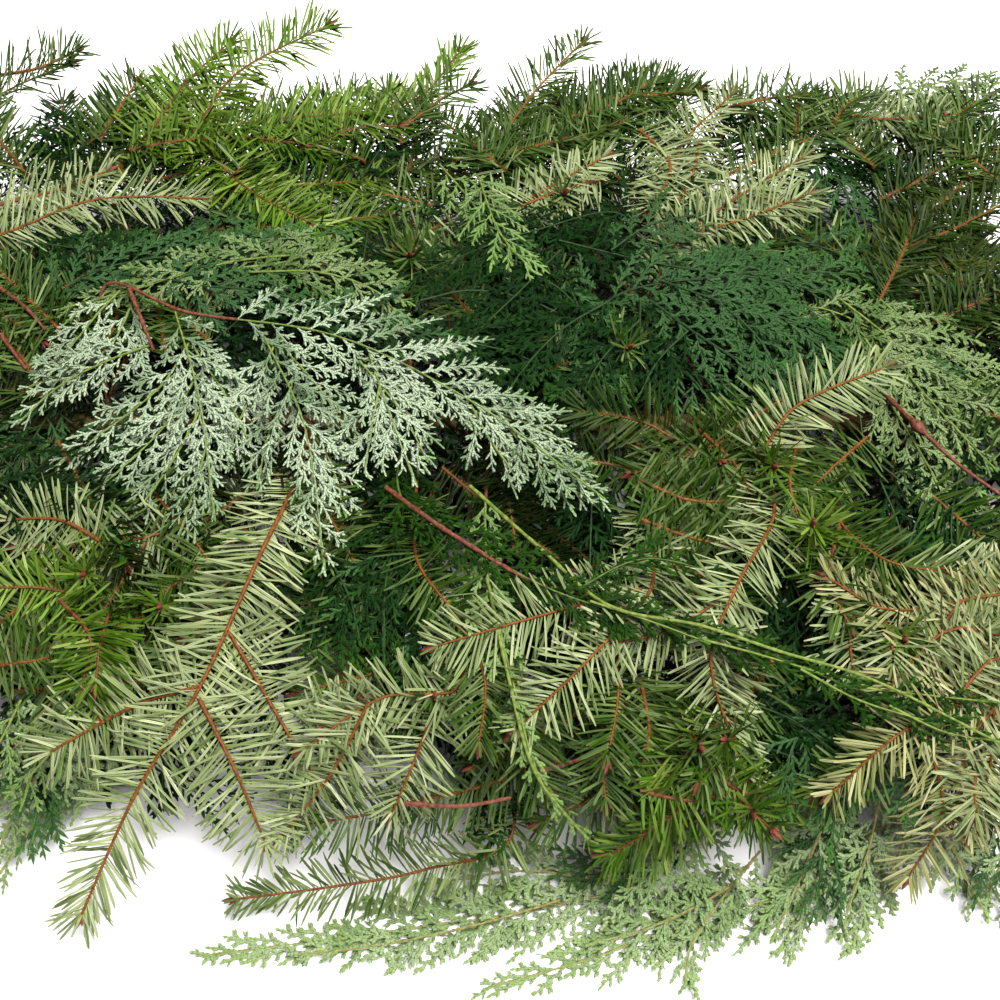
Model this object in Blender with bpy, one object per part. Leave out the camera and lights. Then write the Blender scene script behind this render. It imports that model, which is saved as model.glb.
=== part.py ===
"""A garland of fir and cedar sprays bound to a rope with wire, lying on a flat surface.

The garland lies along X, its front is at -Y, and it rests on z = 0 with the origin on the flat
spot under its middle. Sprays are planned in millimetres and built in metres.
"""

import math
from dataclasses import dataclass, field

import bmesh
import bpy
import numpy as np
from mathutils.bvhtree import BVHTree

MM = 0.001
SEED = 11

# Rope and wire
ROPE_HALF_LENGTH = 255.0
ROPE_RADIUS = 4.0
ROPE_Y = 5.0
ROPE_Z = 60.0
ROPE_SIDES = 8
WIRE_RADIUS = 0.55
WIRE_TURNS = 7
WIRE_STEPS_PER_TURN = 8
GAP = 0.35

# Stems
STEM_REACH = 1.6
BUTT_REACH = 1.5
APPROACH = 26.0
STEM_ROOT_HALF = 1.1
STEM_TIP_HALF = 0.5
BUTT_HALF_LENGTH = 7.0
BUTTS_PER_STATION = 7
LONGEST_BARE_STEP = 32.0
BARE_TURN = math.radians(15)
BUD_LENGTH = 4.0
LEAST_BRANCH_START = 3.5
BRANCH_ELBOW = 7.0

# Fir needles, two to a face at each station
FIR_SIDES = 3
NEEDLE_PITCH = 18.5
STATION_TURNS = (math.radians(30), math.radians(72))
NEEDLE_BASE = 3.2
NEEDLE_LEANS = (math.radians(72), math.radians(44))
NEEDLE_FLATNESS = 0.65

# Cedar leaflets, side by side along both edges of a flat rib
RIB_SIDES = 4
LEAFLET_PITCH = 9.3
LEAFLET_ANGLE = math.radians(52)
LEAFLET_REACH = 26.0
LOBED_PITCH = 9.6
LOBE_LIMIT = 5.6
BLADE_HALF_THICKNESS = 0.42
RIB_HALF_WIDTH = 1.0

# Clearances
CLEAR = 0.3
SAMPLE = 3.0
SAMPLE_SLACK = 1.0
BEND_TURNS = 160
PAIRS_LAST = 8
LONGEST_PUSH = 1.2
JOINT_ROOM = 11.0
SURFACE_BAND = 1.5

FIR = "fir"
CEDAR = "cedar"

TINTS = {
    "fir_green": (0.10, 0.22, 0.03),
    "fir_pale": (0.47, 0.58, 0.28),
    "fir_bright": (0.21, 0.36, 0.02),
    "fir_dark": (0.03, 0.09, 0.03),
    "cedar_dark": (0.02, 0.11, 0.05),
    "cedar_blue": (0.04, 0.16, 0.09),
    "cedar_silver": (0.45, 0.62, 0.50),
    "cedar_lime": (0.20, 0.43, 0.10),
    "rope": (0.35, 0.24, 0.13),
    "wire": (0.02, 0.06, 0.03),
}

# Each spray: its kind and tint, then its routes in millimetres. The first route is the main
# stem from where it comes out of the garland's middle, the others are its side shoots.
SPRAYS = {
    "cedar_silver_bough": (CEDAR, "cedar_silver", [
        [(-175, 50, 100), (-135, 30, 106), (-70, 15, 108), (-10, -20, 106), (40, -60, 98)],
        [(-160, 40, 102), (-170, 15, 98), (-205, 5, 85)],
        [(-140, 30, 106), (-125, -15, 104), (-115, -65, 92)],
        [(-100, 15, 107), (-80, -30, 103), (-70, -85, 86)],
        [(-55, 5, 108), (-45, -25, 104), (-35, -50, 96)],
    ]),
    "fir_front_bough": (FIR, "fir_pale", [
        [(-85, -45, 85), (-95, -85, 92), (-115, -135, 78), (-140, -170, 55), (-160, -210, 32)],
        [(-115, -135, 78), (-140, -140, 72), (-175, -155, 60)],
        [(-115, -140, 78), (-100, -165, 62), (-90, -185, 42)],
        [(-105, -115, 85), (-85, -145, 72), (-70, -165, 58)],
    ]),
    "fir_back_left_bough": (FIR, "fir_bright", [
        [(-220, 140, 70), (-180, 155, 85), (-125, 165, 92), (-45, 185, 88), (-20, 215, 95)],
        [(-150, 160, 90), (-130, 185, 105), (-85, 210, 115)],
        [(-175, 155, 88), (-155, 185, 100), (-135, 210, 105)],
        [(-150, 160, 88), (-120, 120, 92), (-80, 95, 88)],
    ]),
    "cedar_long_spray": (CEDAR, "cedar_lime", [
        [(-40, -60, 98), (-15, -85, 104), (25, -110, 104), (85, -125, 98), (135, -140, 85),
         (195, -155, 68)],
        [(25, -110, 104), (55, -95, 106), (90, -100, 100)],
    ]),
    "fir_hanging_pale": (FIR, "fir_pale", [
        [(110, -65, 95), (90, -105, 100), (80, -130, 88), (95, -165, 60)],
        [(90, -105, 100), (65, -120, 96), (40, -125, 92)],
    ]),
    "fir_pale_crown": (FIR, "fir_pale", [[(105, -40, 95), (120, -25, 110), (160, -5, 112)]]),
    "fir_pale_trio": (FIR, "fir_pale", [
        [(75, 80, 85), (100, 100, 96), (145, 135, 98)],
        [(80, 85, 88), (85, 140, 95), (115, 180, 98)],
        [(90, 90, 92), (115, 95, 98), (145, 110, 98)],
    ]),
    "cedar_lime_sprig": (CEDAR, "cedar_lime", [
        [(-5, -95, 98), (5, -140, 90), (15, -170, 70), (35, -185, 45)],
    ]),
    "fir_pale_left": (FIR, "fir_pale", [
        [(-265, 85, 85), (-230, 90, 92), (-190, 110, 94), (-135, 115, 90)],
    ]),
    "fir_pale_left_front": (FIR, "fir_pale", [
        [(-85, -42, 70), (-120, -58, 76), (-160, -72, 80), (-200, -68, 72)],
    ]),
    "fir_front_pale_shoots": (FIR, "fir_pale", [
        [(-15, -135, 80), (-45, -142, 82), (-75, -158, 70)],
        [(-22, -137, 80), (-35, -165, 62), (-42, -175, 48)],
        [(-50, -145, 82), (-65, -165, 62), (-85, -182, 42)],
    ]),
    "fir_pale_pair": (FIR, "fir_pale", [
        [(60, -95, 90), (35, -130, 94), (5, -155, 80)],
        [(55, -100, 92), (15, -116, 99), (-25, -127, 95)],
    ]),
    "fir_pale_right": (FIR, "fir_pale", [
        [(205, -115, 78), (180, -140, 80), (150, -155, 78), (125, -172, 60)],
        [(190, -130, 80), (188, -160, 62), (180, -182, 46)],
        [(160, -152, 78), (170, -175, 50), (160, -192, 24)],
    ]),
    "fir_right_edge": (FIR, "fir_pale", [
        [(235, -85, 78), (190, -100, 86), (150, -108, 90), (128, -95, 92)],
        [(180, -103, 88), (165, -120, 84), (145, -140, 78)],
    ]),
    "fir_curved_right": (FIR, "fir_green", [
        [(130, -45, 84), (140, -75, 92), (152, -90, 96), (172, -92, 92)],
    ]),
    "cedar_low_front": (CEDAR, "cedar_blue", [
        [(70, -180, 18), (25, -195, 3), (-40, -205, 0.45), (-115, -215, 0.45)],
    ]),
    "cedar_low_right": (CEDAR, "cedar_blue", [
        [(125, -185, 14), (80, -200, 2), (40, -215, 0.45), (-5, -228, 0.45)],
    ]),
    "cedar_fan_right": (CEDAR, "cedar_blue", [
        [(165, -150, 30), (155, -180, 8), (140, -212, 1.5)],
        [(160, -165, 20), (130, -185, 8), (112, -212, 1.5)],
        [(165, -155, 25), (190, -175, 10), (205, -200, 2)],
    ]),
    "fir_lying_front": (FIR, "fir_green", [
        [(5, -175, 30), (-30, -186, 18), (-65, -192, 16), (-105, -197, 15)],
    ]),
    "fir_bright_front": (FIR, "fir_bright", [
        [(108, -128, 50), (90, -156, 54), (66, -176, 50), (42, -187, 36)],
        [(98, -145, 53), (84, -158, 80)],
        [(84, -162, 54), (102, -186, 60)],
    ]),
    "fir_middle_shoots": (FIR, "fir_green", [
        [(-34, -80, 88), (-22, -105, 93), (0, -125, 88)],
        [(-20, -108, 92), (-6, -135, 87), (-8, -158, 74)],
    ]),
    "cedar_middle_dark": (CEDAR, "cedar_dark", [
        [(-40, -60, 84), (-45, -95, 88), (-45, -125, 78)],
        [(-42, -70, 84), (-62, -90, 80), (-72, -115, 68)],
    ]),
    "cedar_hanging_dark": (CEDAR, "cedar_dark", [
        [(18, 76, 82), (36, 35, 94), (50, -20, 95)],
        [(33, 42, 94), (8, 18, 96), (-22, -8, 94)],
    ]),
    "cedar_centre_dark": (CEDAR, "cedar_dark", [
        [(60, 105, 86), (15, 86, 98), (-45, 55, 100), (-85, 48, 96)],
        [(40, 96, 92), (-5, 112, 90), (-30, 138, 84)],
    ]),
    "cedar_upper_left": (CEDAR, "cedar_blue", [
        [(-195, 55, 92), (-135, 72, 100), (-70, 82, 102)],
        [(-150, 66, 98), (-120, 105, 92), (-85, 125, 86)],
    ]),
    "cedar_right_dark": (CEDAR, "cedar_blue", [
        [(45, 45, 92), (100, 55, 102), (150, 62, 96), (190, 65, 85)],
        [(85, 52, 100), (110, 20, 102), (125, -10, 92)],
    ]),
    "cedar_right_pale": (CEDAR, "cedar_lime", [
        [(135, 45, 90), (175, 25, 92), (220, 0, 84), (250, -15, 74)],
        [(165, 30, 92), (180, -5, 94), (205, -40, 88)],
    ]),
    "cedar_right_under": (CEDAR, "cedar_dark", [
        [(205, -40, 74), (190, -65, 76), (175, -85, 72), (168, -110, 62)],
    ]),
    "cedar_top_right": (CEDAR, "cedar_dark", [
        [(140, 150, 76), (175, 145, 86), (215, 125, 82)],
        [(165, 148, 84), (200, 180, 78), (250, 205, 72)],
    ]),
    "fir_bright_right": (FIR, "fir_bright", [
        [(170, 70, 78), (205, 80, 84), (248, 82, 76)],
        [(178, 72, 80), (210, 115, 88), (255, 160, 82)],
        [(205, 80, 84), (215, 45, 78)],
    ]),
    "fir_top_twigs": (FIR, "fir_green", [
        [(-40, 130, 75), (-5, 150, 90), (18, 180, 100), (42, 212, 104)],
        [(-25, 138, 80), (10, 145, 88), (42, 165, 88)],
    ]),
    "fir_top_edge": (FIR, "fir_green", [
        [(20, 145, 75), (55, 175, 85), (98, 195, 88)],
    ]),
    "fir_pale_middle": (FIR, "fir_pale", [
        [(-20, 90, 84), (18, 112, 96), (50, 135, 98)],
    ]),
    "fir_far_left_twig": (FIR, "fir_green", [
        [(-295, 165, 68), (-255, 190, 86), (-220, 212, 90)],
    ]),
    "fir_left_brown": (FIR, "fir_green", [
        [(-258, 70, 80), (-228, 48, 88), (-202, 30, 86)],
        [(-250, 60, 82), (-242, 10, 70), (-225, -25, 58)],
    ]),
    "cedar_dark_left": (CEDAR, "cedar_dark", [
        [(-255, 130, 62), (-235, 160, 68), (-212, 188, 72)],
        [(-248, 140, 64), (-275, 175, 50), (-300, 200, 34)],
    ]),
    "fir_left_tufts": (FIR, "fir_bright", [
        [(-150, -85, 66), (-180, -98, 66), (-212, -112, 52)],
        [(-158, -92, 66), (-180, -94, 82), (-202, -96, 86)],
        [(-158, -90, 66), (-156, -118, 76), (-156, -142, 66)],
    ]),
    "cedar_left_low": (CEDAR, "cedar_blue", [
        [(-150, -120, 34), (-178, -150, 22), (-205, -188, 7)],
        [(-158, -128, 32), (-185, -138, 34), (-218, -158, 24)],
    ]),
    "fir_star_right": (FIR, "fir_green", [[(125, -62, 70), (123, -76, 95), (120, -84, 114)]]),
    "fir_olive_middle": (FIR, "fir_dark", [[(82, -30, 86), (60, -22, 96), (32, -14, 94)]]),
    "fir_back_low_left": (FIR, "fir_green", [
        [(-150, 95, 45), (-165, 150, 42), (-180, 195, 24)],
        [(-162, 140, 43), (-130, 175, 34), (-112, 200, 26)],
    ]),
    "cedar_back_left": (CEDAR, "cedar_dark", [
        [(-95, 95, 48), (-85, 145, 34), (-78, 180, 8), (-72, 215, 0.45)],
        [(-88, 135, 38), (-50, 170, 24), (-30, 195, 10)],
    ]),
    "fir_back_middle": (FIR, "fir_green", [
        [(-20, 95, 50), (-5, 150, 44), (10, 200, 26)],
        [(-8, 140, 46), (25, 175, 36), (45, 198, 28)],
    ]),
    "cedar_back_right": (CEDAR, "cedar_blue", [
        [(65, 95, 46), (75, 145, 32), (82, 180, 8), (88, 215, 0.45)],
        [(73, 135, 36), (100, 165, 26), (118, 200, 10)],
    ]),
    "fir_back_right": (FIR, "fir_green", [
        [(130, 95, 50), (155, 145, 44), (175, 195, 24)],
        [(145, 130, 48), (190, 150, 40), (225, 178, 28)],
    ]),
    "cedar_end_left_front": (CEDAR, "cedar_blue", [
        [(-235, -35, 45), (-268, -80, 22), (-300, -125, 3)],
        [(-245, -50, 38), (-280, -50, 24), (-315, -62, 8)],
    ]),
    "fir_end_left": (FIR, "fir_green", [
        [(-262, 0, 70), (-295, 5, 60), (-335, 15, 38)],
        [(-272, 2, 68), (-300, -25, 52), (-325, -38, 36)],
        [(-270, 2, 68), (-295, 45, 60), (-325, 62, 42)],
    ]),
    "cedar_end_left_back": (CEDAR, "cedar_dark", [
        [(-245, 60, 40), (-285, 100, 14), (-315, 130, 0.45)],
    ]),
    "fir_end_right_front": (FIR, "fir_green", [
        [(245, -45, 58), (280, -80, 40), (318, -112, 22)],
        [(258, -58, 52), (290, -55, 40), (325, -60, 26)],
    ]),
    "cedar_end_right": (CEDAR, "cedar_lime", [
        [(262, 5, 66), (295, 5, 48), (335, 0, 20)],
        [(270, 5, 62), (292, 35, 46), (318, 52, 24)],
    ]),
    "cedar_end_right_back": (CEDAR, "cedar_blue", [
        [(245, 65, 50), (280, 100, 28), (312, 130, 3)],
        [(255, 75, 44), (262, 120, 30), (262, 160, 8)],
    ]),
    "cedar_under_middle": (CEDAR, "cedar_dark", [
        [(-55, 22, 24), (-28, 9, 2), (0, 0, 0.42), (45, -14, 0.42), (80, -24, 0.42)],
    ]),
    "cedar_under_left": (CEDAR, "cedar_dark", [
        [(-150, -10, 22), (-168, -35, 2), (-185, -65, 0.42), (-198, -100, 0.42)],
    ]),
    "cedar_under_right": (CEDAR, "cedar_dark", [
        [(150, 20, 22), (165, 45, 2), (180, 78, 0.42), (192, 115, 0.42)],
    ]),
    "cedar_under_back": (CEDAR, "cedar_dark", [
        [(-190, 55, 22), (-205, 85, 2), (-215, 115, 0.42), (-222, 145, 0.42)],
    ]),
}

# What each kind's needles or fronds measure, where it differs from the usual
NEEDLE_LENGTH = {"fir_front_bough": 21.0, "fir_lying_front": 15.0, "fir_star_right": 19.0}
USUAL_NEEDLE = 18.0
LOBED_SPRAYS = ("cedar_silver_bough",)
FROND_REACH = {
    "cedar_long_spray": 17.0,
    "cedar_lime_sprig": 15.0,
    "cedar_end_right": 24.0,
    "cedar_under_middle": 20.0,
}


@dataclass
class Blade:
    """A needle or a leaflet on one face, or half face, of a stem."""

    slot: tuple
    rings: list
    lobes: dict
    tip: np.ndarray


@dataclass
class Shoot:
    """A stem: its centre line, then the rings of corners that its mesh follows."""

    spray: str
    kind: str
    line: np.ndarray
    bare: float
    parent: int = -1
    joins: int = 0
    rings: list = field(default_factory=list)
    frames: list = field(default_factory=list)
    slots: list = field(default_factory=list)
    share: list = field(default_factory=list)
    blades: list = field(default_factory=list)
    start: tuple = ()
    base: list = field(default_factory=list)
    tip: np.ndarray = None

    def lies_flat(self):
        return self.line[-1, 2] < SURFACE_BAND

    def sides(self):
        return FIR_SIDES if self.kind == FIR else RIB_SIDES


def unit(vector):
    return vector / max(np.linalg.norm(vector), 1e-9)


def curve_through(points, steps=14):
    """A smooth curve through the points, with tangents from each point's neighbours."""
    points = np.array(points, float)
    before = np.vstack([2 * points[0] - points[1], points[:-1]])
    after = np.vstack([points[1:], 2 * points[-1] - points[-2]])
    slopes = (after - before) / (
        np.linalg.norm(after - points, axis=1) + np.linalg.norm(points - before, axis=1)
    )[:, None]
    curve = []
    for a, b, slope_a, slope_b in zip(points[:-1], points[1:], slopes[:-1], slopes[1:]):
        span = np.linalg.norm(b - a)
        for t in np.arange(steps) / steps:
            curve.append(
                (1 + 2 * t) * (1 - t) ** 2 * a
                + t * (1 - t) ** 2 * span * slope_a
                + t * t * (3 - 2 * t) * b
                + t * t * (t - 1) * span * slope_b
            )
    return np.array(curve + [points[-1]])


def lengths_along(line):
    return np.concatenate([[0], np.cumsum(np.linalg.norm(np.diff(line, axis=0), axis=1))])


def at_length(line, where):
    along = lengths_along(line)
    return np.array([np.interp(where, along, line[:, k]) for k in range(3)]).T


def evenly(line, step):
    total = lengths_along(line)[-1]
    return at_length(line, np.linspace(0, total, max(3, int(total / step) + 1)))


def dome_up(point):
    """Which way the garland's surface faces at a point: up on top, outwards down its sides."""
    x, y, z = point
    steep = min(1.0, max(0.0, (z - 4) / 40))
    past_end = math.copysign(max(0.0, abs(x) - 235), x)
    return unit(np.array([past_end / 90 * steep, (y - ROPE_Y) / 165 * steep, 1.0]))


def on_rope(x, angle, radius):
    return np.array([x, ROPE_Y + radius * math.cos(angle), ROPE_Z + radius * math.sin(angle)])


def wire_line():
    turns = np.linspace(0, WIRE_TURNS, WIRE_TURNS * WIRE_STEPS_PER_TURN + 1)
    reach = ROPE_RADIUS + 2 * STEM_REACH + 2 * GAP + WIRE_RADIUS
    reach /= math.cos(math.pi / WIRE_STEPS_PER_TURN)
    span = 2 * (ROPE_HALF_LENGTH - 12)
    return np.array(
        [on_rope(-span / 2 + span * t / WIRE_TURNS, 2 * math.pi * t, reach) for t in turns]
    )


def stations():
    """Sets the cut ends of the sprays side by side along the rope, a few at each station."""
    wanted = sorted(SPRAYS, key=lambda name: SPRAYS[name][2][0][0][0])
    groups = -(-len(wanted) // BUTTS_PER_STATION)
    ends = {}
    for group in range(groups):
        members = wanted[group * len(wanted) // groups : (group + 1) * len(wanted) // groups]
        middle = np.mean([SPRAYS[name][2][0][0][0] for name in members])
        x = np.clip(middle, 25 - ROPE_HALF_LENGTH, ROPE_HALF_LENGTH - 25)
        angles = {}
        for name in members:
            first = SPRAYS[name][2][0][0]
            angles[name] = math.atan2(first[2] - ROPE_Z, first[1] - ROPE_Y) % (2 * math.pi)
        members.sort(key=angles.get)
        step = 2 * math.pi / len(members)
        places = np.arange(len(members)) * step
        turn = np.angle(np.mean([np.exp(1j * (angles[n] - p)) for n, p in zip(members, places)]))
        for name, place in zip(members, places):
            ends[name] = (x, place + turn)
    return ends


def main_line(name, route, station):
    """The route with its hidden stretch: along the rope, then out to where the route starts."""
    x, angle = station
    first = np.array(route[0], float)
    way = 1.0 if first[0] + 0.5 * (route[-1][0] - first[0]) >= x else -1.0
    reach = ROPE_RADIUS + GAP + BUTT_REACH
    butt = on_rope(x - way * BUTT_HALF_LENGTH, angle, reach)
    leaves = on_rope(x + way * BUTT_HALF_LENGTH, angle, reach)
    away = on_rope(x + way * (BUTT_HALF_LENGTH + 13), angle, reach + 8)
    points = [butt, leaves]
    span = np.linalg.norm(first - away)
    if span > 22:
        points.append(away)
        back = unit(first - np.array(route[1], float)) * min(APPROACH, 0.4 * span)
        points.append(first + back + np.array([0, 0, -0.3 * np.linalg.norm(back)]))
    hidden = curve_through(points + [first])
    whole = curve_through(points + [np.array(p, float) for p in route])
    return evenly(whole, SAMPLE), lengths_along(hidden)[-1]


def plan_lines():
    shoots = []
    ends = stations()
    for name, (kind, _, routes) in SPRAYS.items():
        line, hidden = main_line(name, routes[0], ends[name])
        shoots.append(Shoot(name, kind, line, max(24.0, hidden - 4)))
        main = len(shoots) - 1
        for route in routes[1:]:
            start = np.array(route[0], float)
            joins = int(np.argmin(np.linalg.norm(line - start, axis=1)))
            points = [line[joins]] + [np.array(p, float) for p in route[1:]]
            side = evenly(curve_through(points), SAMPLE)
            shoots.append(Shoot(name, kind, side, 4.0, main, joins))
    return shoots


def near_pairs(places, owner, within):
    """Pairs of points on different lines that lie this near each other."""
    found = []
    for start in range(0, len(places), 400):
        block = places[start : start + 400]
        gaps = np.linalg.norm(block[:, None] - places[None], axis=2)
        rows, columns = np.nonzero(gaps < within)
        rows = rows + start
        keep = (rows < columns) & (owner[rows] != owner[columns])
        found.append(np.stack([rows[keep], columns[keep]], axis=1))
    return np.concatenate(found)


def bend_clear(shoots):
    """Bends the stems round each other, the rope and the wire, a little at a time."""
    along = np.arange(-ROPE_HALF_LENGTH, ROPE_HALF_LENGTH, SAMPLE)
    rope = np.array([[x, ROPE_Y, ROPE_Z] for x in along])
    wire = evenly(wire_line(), SAMPLE)
    lines = [shoot.line for shoot in shoots] + [rope, wire]
    owner = np.concatenate([np.full(len(line), k) for k, line in enumerate(lines)])
    first_of = np.concatenate([[0], np.cumsum([len(line) for line in lines])])
    rest = np.concatenate(lines)
    reach = np.full(len(rest), STEM_REACH + SAMPLE_SLACK / 2 + CLEAR / 2)
    reach[owner == len(lines) - 2] = ROPE_RADIUS + CLEAR / 2
    reach[owner == len(lines) - 1] = WIRE_RADIUS + CLEAR / 2
    free = np.ones(len(rest))
    free[owner >= len(shoots)] = 0
    floor = np.full(len(rest), 0.0)
    join_of = np.full(len(rest), -1)
    for k, shoot in enumerate(shoots):
        first = first_of[k]
        low = shoot.line[:, 2] < SURFACE_BAND
        floor[first : first + len(low)] = np.where(low, BLADE_HALF_THICKNESS, STEM_REACH)
        if shoot.parent < 0:
            free[first : first + int(2 * BUTT_HALF_LENGTH / SAMPLE) + 1] = 0
        else:
            join_of[first] = first_of[shoot.parent] + shoot.joins
    moved = np.zeros_like(rest)
    pairs = None
    for turn in range(BEND_TURNS):
        places = rest + moved
        if turn % PAIRS_LAST == 0:
            pairs = near_pairs(places, owner, 12)
            keep = np.ones(len(pairs), bool)
            for k, shoot in enumerate(shoots):
                if shoot.parent < 0:
                    continue
                join = places[first_of[k]]
                family = [k, shoot.parent] + [
                    j for j, s in enumerate(shoots) if s.parent == shoot.parent
                ]
                same = np.isin(owner[pairs[:, 0]], family) & np.isin(owner[pairs[:, 1]], family)
                close = np.linalg.norm(places[pairs[:, 0]] - join, axis=1) < JOINT_ROOM
                keep &= ~(same & close)
            pairs = pairs[keep]
        a, b = pairs[:, 0], pairs[:, 1]
        apart = places[a] - places[b]
        gap = np.linalg.norm(apart, axis=1)
        short = np.clip(reach[a] + reach[b] - gap, 0, None)
        weight = free[a] + free[b]
        use = (short > 0) & (weight > 0)
        if turn % PAIRS_LAST == 0 and not use.any():
            break
        push = apart[use] / np.maximum(gap[use], 1e-6)[:, None]
        push = push * (0.6 * short[use] / weight[use])[:, None]
        change = np.zeros_like(rest)
        np.add.at(change, a[use], push * free[a[use], None])
        np.add.at(change, b[use], -push * free[b[use], None])
        moved = moved + np.clip(change, -LONGEST_PUSH, LONGEST_PUSH)
        for k, shoot in enumerate(shoots):
            part = slice(first_of[k], first_of[k + 1])
            own = moved[part]
            if join_of[first_of[k]] >= 0:
                own[0] = moved[join_of[first_of[k]]]
            padded = np.vstack([own[:1], own, own[-1:]])
            eased = 0.5 * own + 0.25 * (padded[:-2] + padded[2:])
            eased[0] = own[0]
            moved[part] = eased * free[part, None]
            if shoot.parent >= 0:
                moved[part.start] = own[0]
        below = rest[:, 2] + moved[:, 2] < floor
        moved[below, 2] = (floor - rest[:, 2])[below]
    for k, shoot in enumerate(shoots):
        shoot.line = (rest + moved)[first_of[k] : first_of[k + 1]]


def square_to(vector, way):
    return unit(vector - way * (vector @ way))


def frames_along(line, places, leafy_from):
    """Frames carried back from the tip, so that a stem never twists, and drawn to the dome's
    own up direction along its foliage."""
    frames = []
    up = None
    for s in reversed(places):
        here, ahead = at_length(line, np.array([s - 2.0, s + 2.0]))
        way = unit(ahead - here)
        dome = dome_up((here + ahead) / 2)
        slanted = abs(way @ dome) < 0.85
        if up is None:
            up = dome if slanted else np.array([0.0, -1.0, 0.3])
        up = square_to(up, way)
        if s >= leafy_from and slanted:
            up = square_to(up + square_to(dome, way), way)
        place = at_length(line, np.array([s]))[0]
        frames.append((place, way, unit(np.cross(way, up)), up))
    return frames[::-1]


def corners(frame, half_side, half_up, sides=4, turn=0.0):
    """The corners of a ring: a rectangle, or a triangle of about the same width."""
    centre, _, side, up = frame
    angles = turn + math.pi * (np.arange(sides) * 2 + 1) / sides
    reach = 1 / math.cos(math.pi / sides) if sides == 4 else 1.35
    return [
        centre + side * half_side * reach * math.cos(a) + up * half_up * reach * math.sin(a)
        for a in angles
    ]


def bare_places(line, first, last):
    """Where rings lie on a stretch with no foliage: close together only where it bends."""
    places = [first]
    way = None
    for s in np.arange(first, last, 2.0):
        here, ahead = at_length(line, np.array([s, s + 2.0]))
        now = unit(ahead - here)
        way = now if way is None else way
        if math.acos(min(1.0, now @ way)) > BARE_TURN or s - places[-1] > LONGEST_BARE_STEP:
            places.append(s)
            way = now
    if last - places[-1] < 5 and len(places) > 1:
        places.pop()
    return places


def least_turned(before, ring):
    """The ring's corners, starting from the one that twists the stem least."""
    shifted = [ring[k:] + ring[:k] for k in range(len(ring))]
    return min(shifted, key=lambda r: sum(np.linalg.norm(a - b) for a, b in zip(before, r)))


def plan_rings(shoot):
    """Chooses where the rings of a stem lie, and which stretches carry foliage."""
    total = lengths_along(shoot.line)[-1]
    fir = shoot.kind == FIR
    lobed = shoot.spray in LOBED_SPRAYS
    bare = min(shoot.bare, total - 12)
    places = bare_places(shoot.line, 0.0, bare) if shoot.parent < 0 else []
    first = bare if shoot.parent < 0 else LEAST_BRANCH_START
    turns = [0.0] * len(places)
    pitch = NEEDLE_PITCH if fir else LOBED_PITCH if lobed else LEAFLET_PITCH
    count = max(2, round((total - 2 - first) / pitch))
    pitch = (total - 2 - first) / count
    for n in range(count):
        s = first + n * pitch
        segment = len(places)
        if fir:
            turn = STATION_TURNS[n % 2]
            shoot.slots += [(segment, face, half) for face in range(3) for half in (0, 1)]
            places += [s, s + NEEDLE_BASE]
            turns += [turn, turn]
        else:
            faces = ((1, 3)[n % 2],) if lobed else (1, 3)
            shoot.slots += [(segment, face, None) for face in faces]
            places.append(s)
            turns.append(0.0)
    places.append(total)
    turns.append(turns[-1])
    frames = frames_along(shoot.line, places, first - 1)
    for s, turn, frame in zip(places, turns, frames):
        u = s / total
        half_side = half_up = STEM_ROOT_HALF + (STEM_TIP_HALF - STEM_ROOT_HALF) * u
        if not fir and s >= first - 1:
            half_side = RIB_HALF_WIDTH * (1.15 - 0.5 * u)
            half_up = BLADE_HALF_THICKNESS
        if shoot.lies_flat() and frame[0][2] < SURFACE_BAND:
            frame[0][2] = BLADE_HALF_THICKNESS
            way = unit(np.array([frame[1][0], frame[1][1], 0.0]))
            frame = (frame[0], way, np.array([way[1], -way[0], 0.0]), np.array([0, 0, 1.0]))
        ring = corners(frame, half_side, half_up, shoot.sides(), turn)
        if fir and shoot.rings:
            ring = least_turned(shoot.rings[-1], ring)
        shoot.frames.append(frame)
        shoot.share.append(u)
        shoot.rings.append(ring)
    last = shoot.frames[-1]
    shoot.tip = last[0] + last[1] * BUD_LENGTH
    if shoot.lies_flat():
        shoot.tip[2] = BLADE_HALF_THICKNESS


def slot_corners(shoot, slot):
    """The corners of a stem's face between two rings, or of one half of it."""
    segment, face, half = slot
    near, far = shoot.rings[segment], shoot.rings[segment + 1]
    after = (face + 1) % len(near)
    if half == 0:
        return [near[face], near[after], far[after]]
    if half == 1:
        return [near[face], far[after], far[face]]
    return [near[face], near[after], far[after], far[face]]


def slot_centre(shoot, slot):
    return np.mean(slot_corners(shoot, slot), axis=0)


def slot_outward(shoot, slot):
    middle = (shoot.frames[slot[0]][0] + shoot.frames[slot[0] + 1][0]) / 2
    face = slot_centre(shoot, (slot[0], slot[1], None))
    return unit(face - middle)


def seat_branches(shoots):
    """Gives each side shoot the face of its parent's stem that looks its way."""
    for shoot in shoots:
        if shoot.parent < 0:
            continue
        parent = shoots[shoot.parent]
        start = shoot.line[0]
        way = unit(at_length(shoot.line, np.array([12.0]))[0] - start)
        best = None
        for slot in parent.slots:
            out = slot_outward(parent, slot)
            score = np.linalg.norm(slot_centre(parent, slot) - start) - 9 * (out @ way)
            if best is None or score < best[0]:
                best = (score, slot)
        shoot.start = best[1]
        parent.slots = [slot for slot in parent.slots if slot[:2] != shoot.start[:2]]
        shoot.base = slot_corners(parent, shoot.start)
        root = slot_centre(parent, shoot.start)
        forward = parent.frames[shoot.start[0]][1]
        leaves = root + unit(slot_outward(parent, shoot.start) + 0.8 * forward) * BRANCH_ELBOW
        past = lengths_along(shoot.line) > 2.2 * BRANCH_ELBOW
        shoot.line = evenly(curve_through([root, leaves] + list(shoot.line[past][::4])), SAMPLE)


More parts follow.
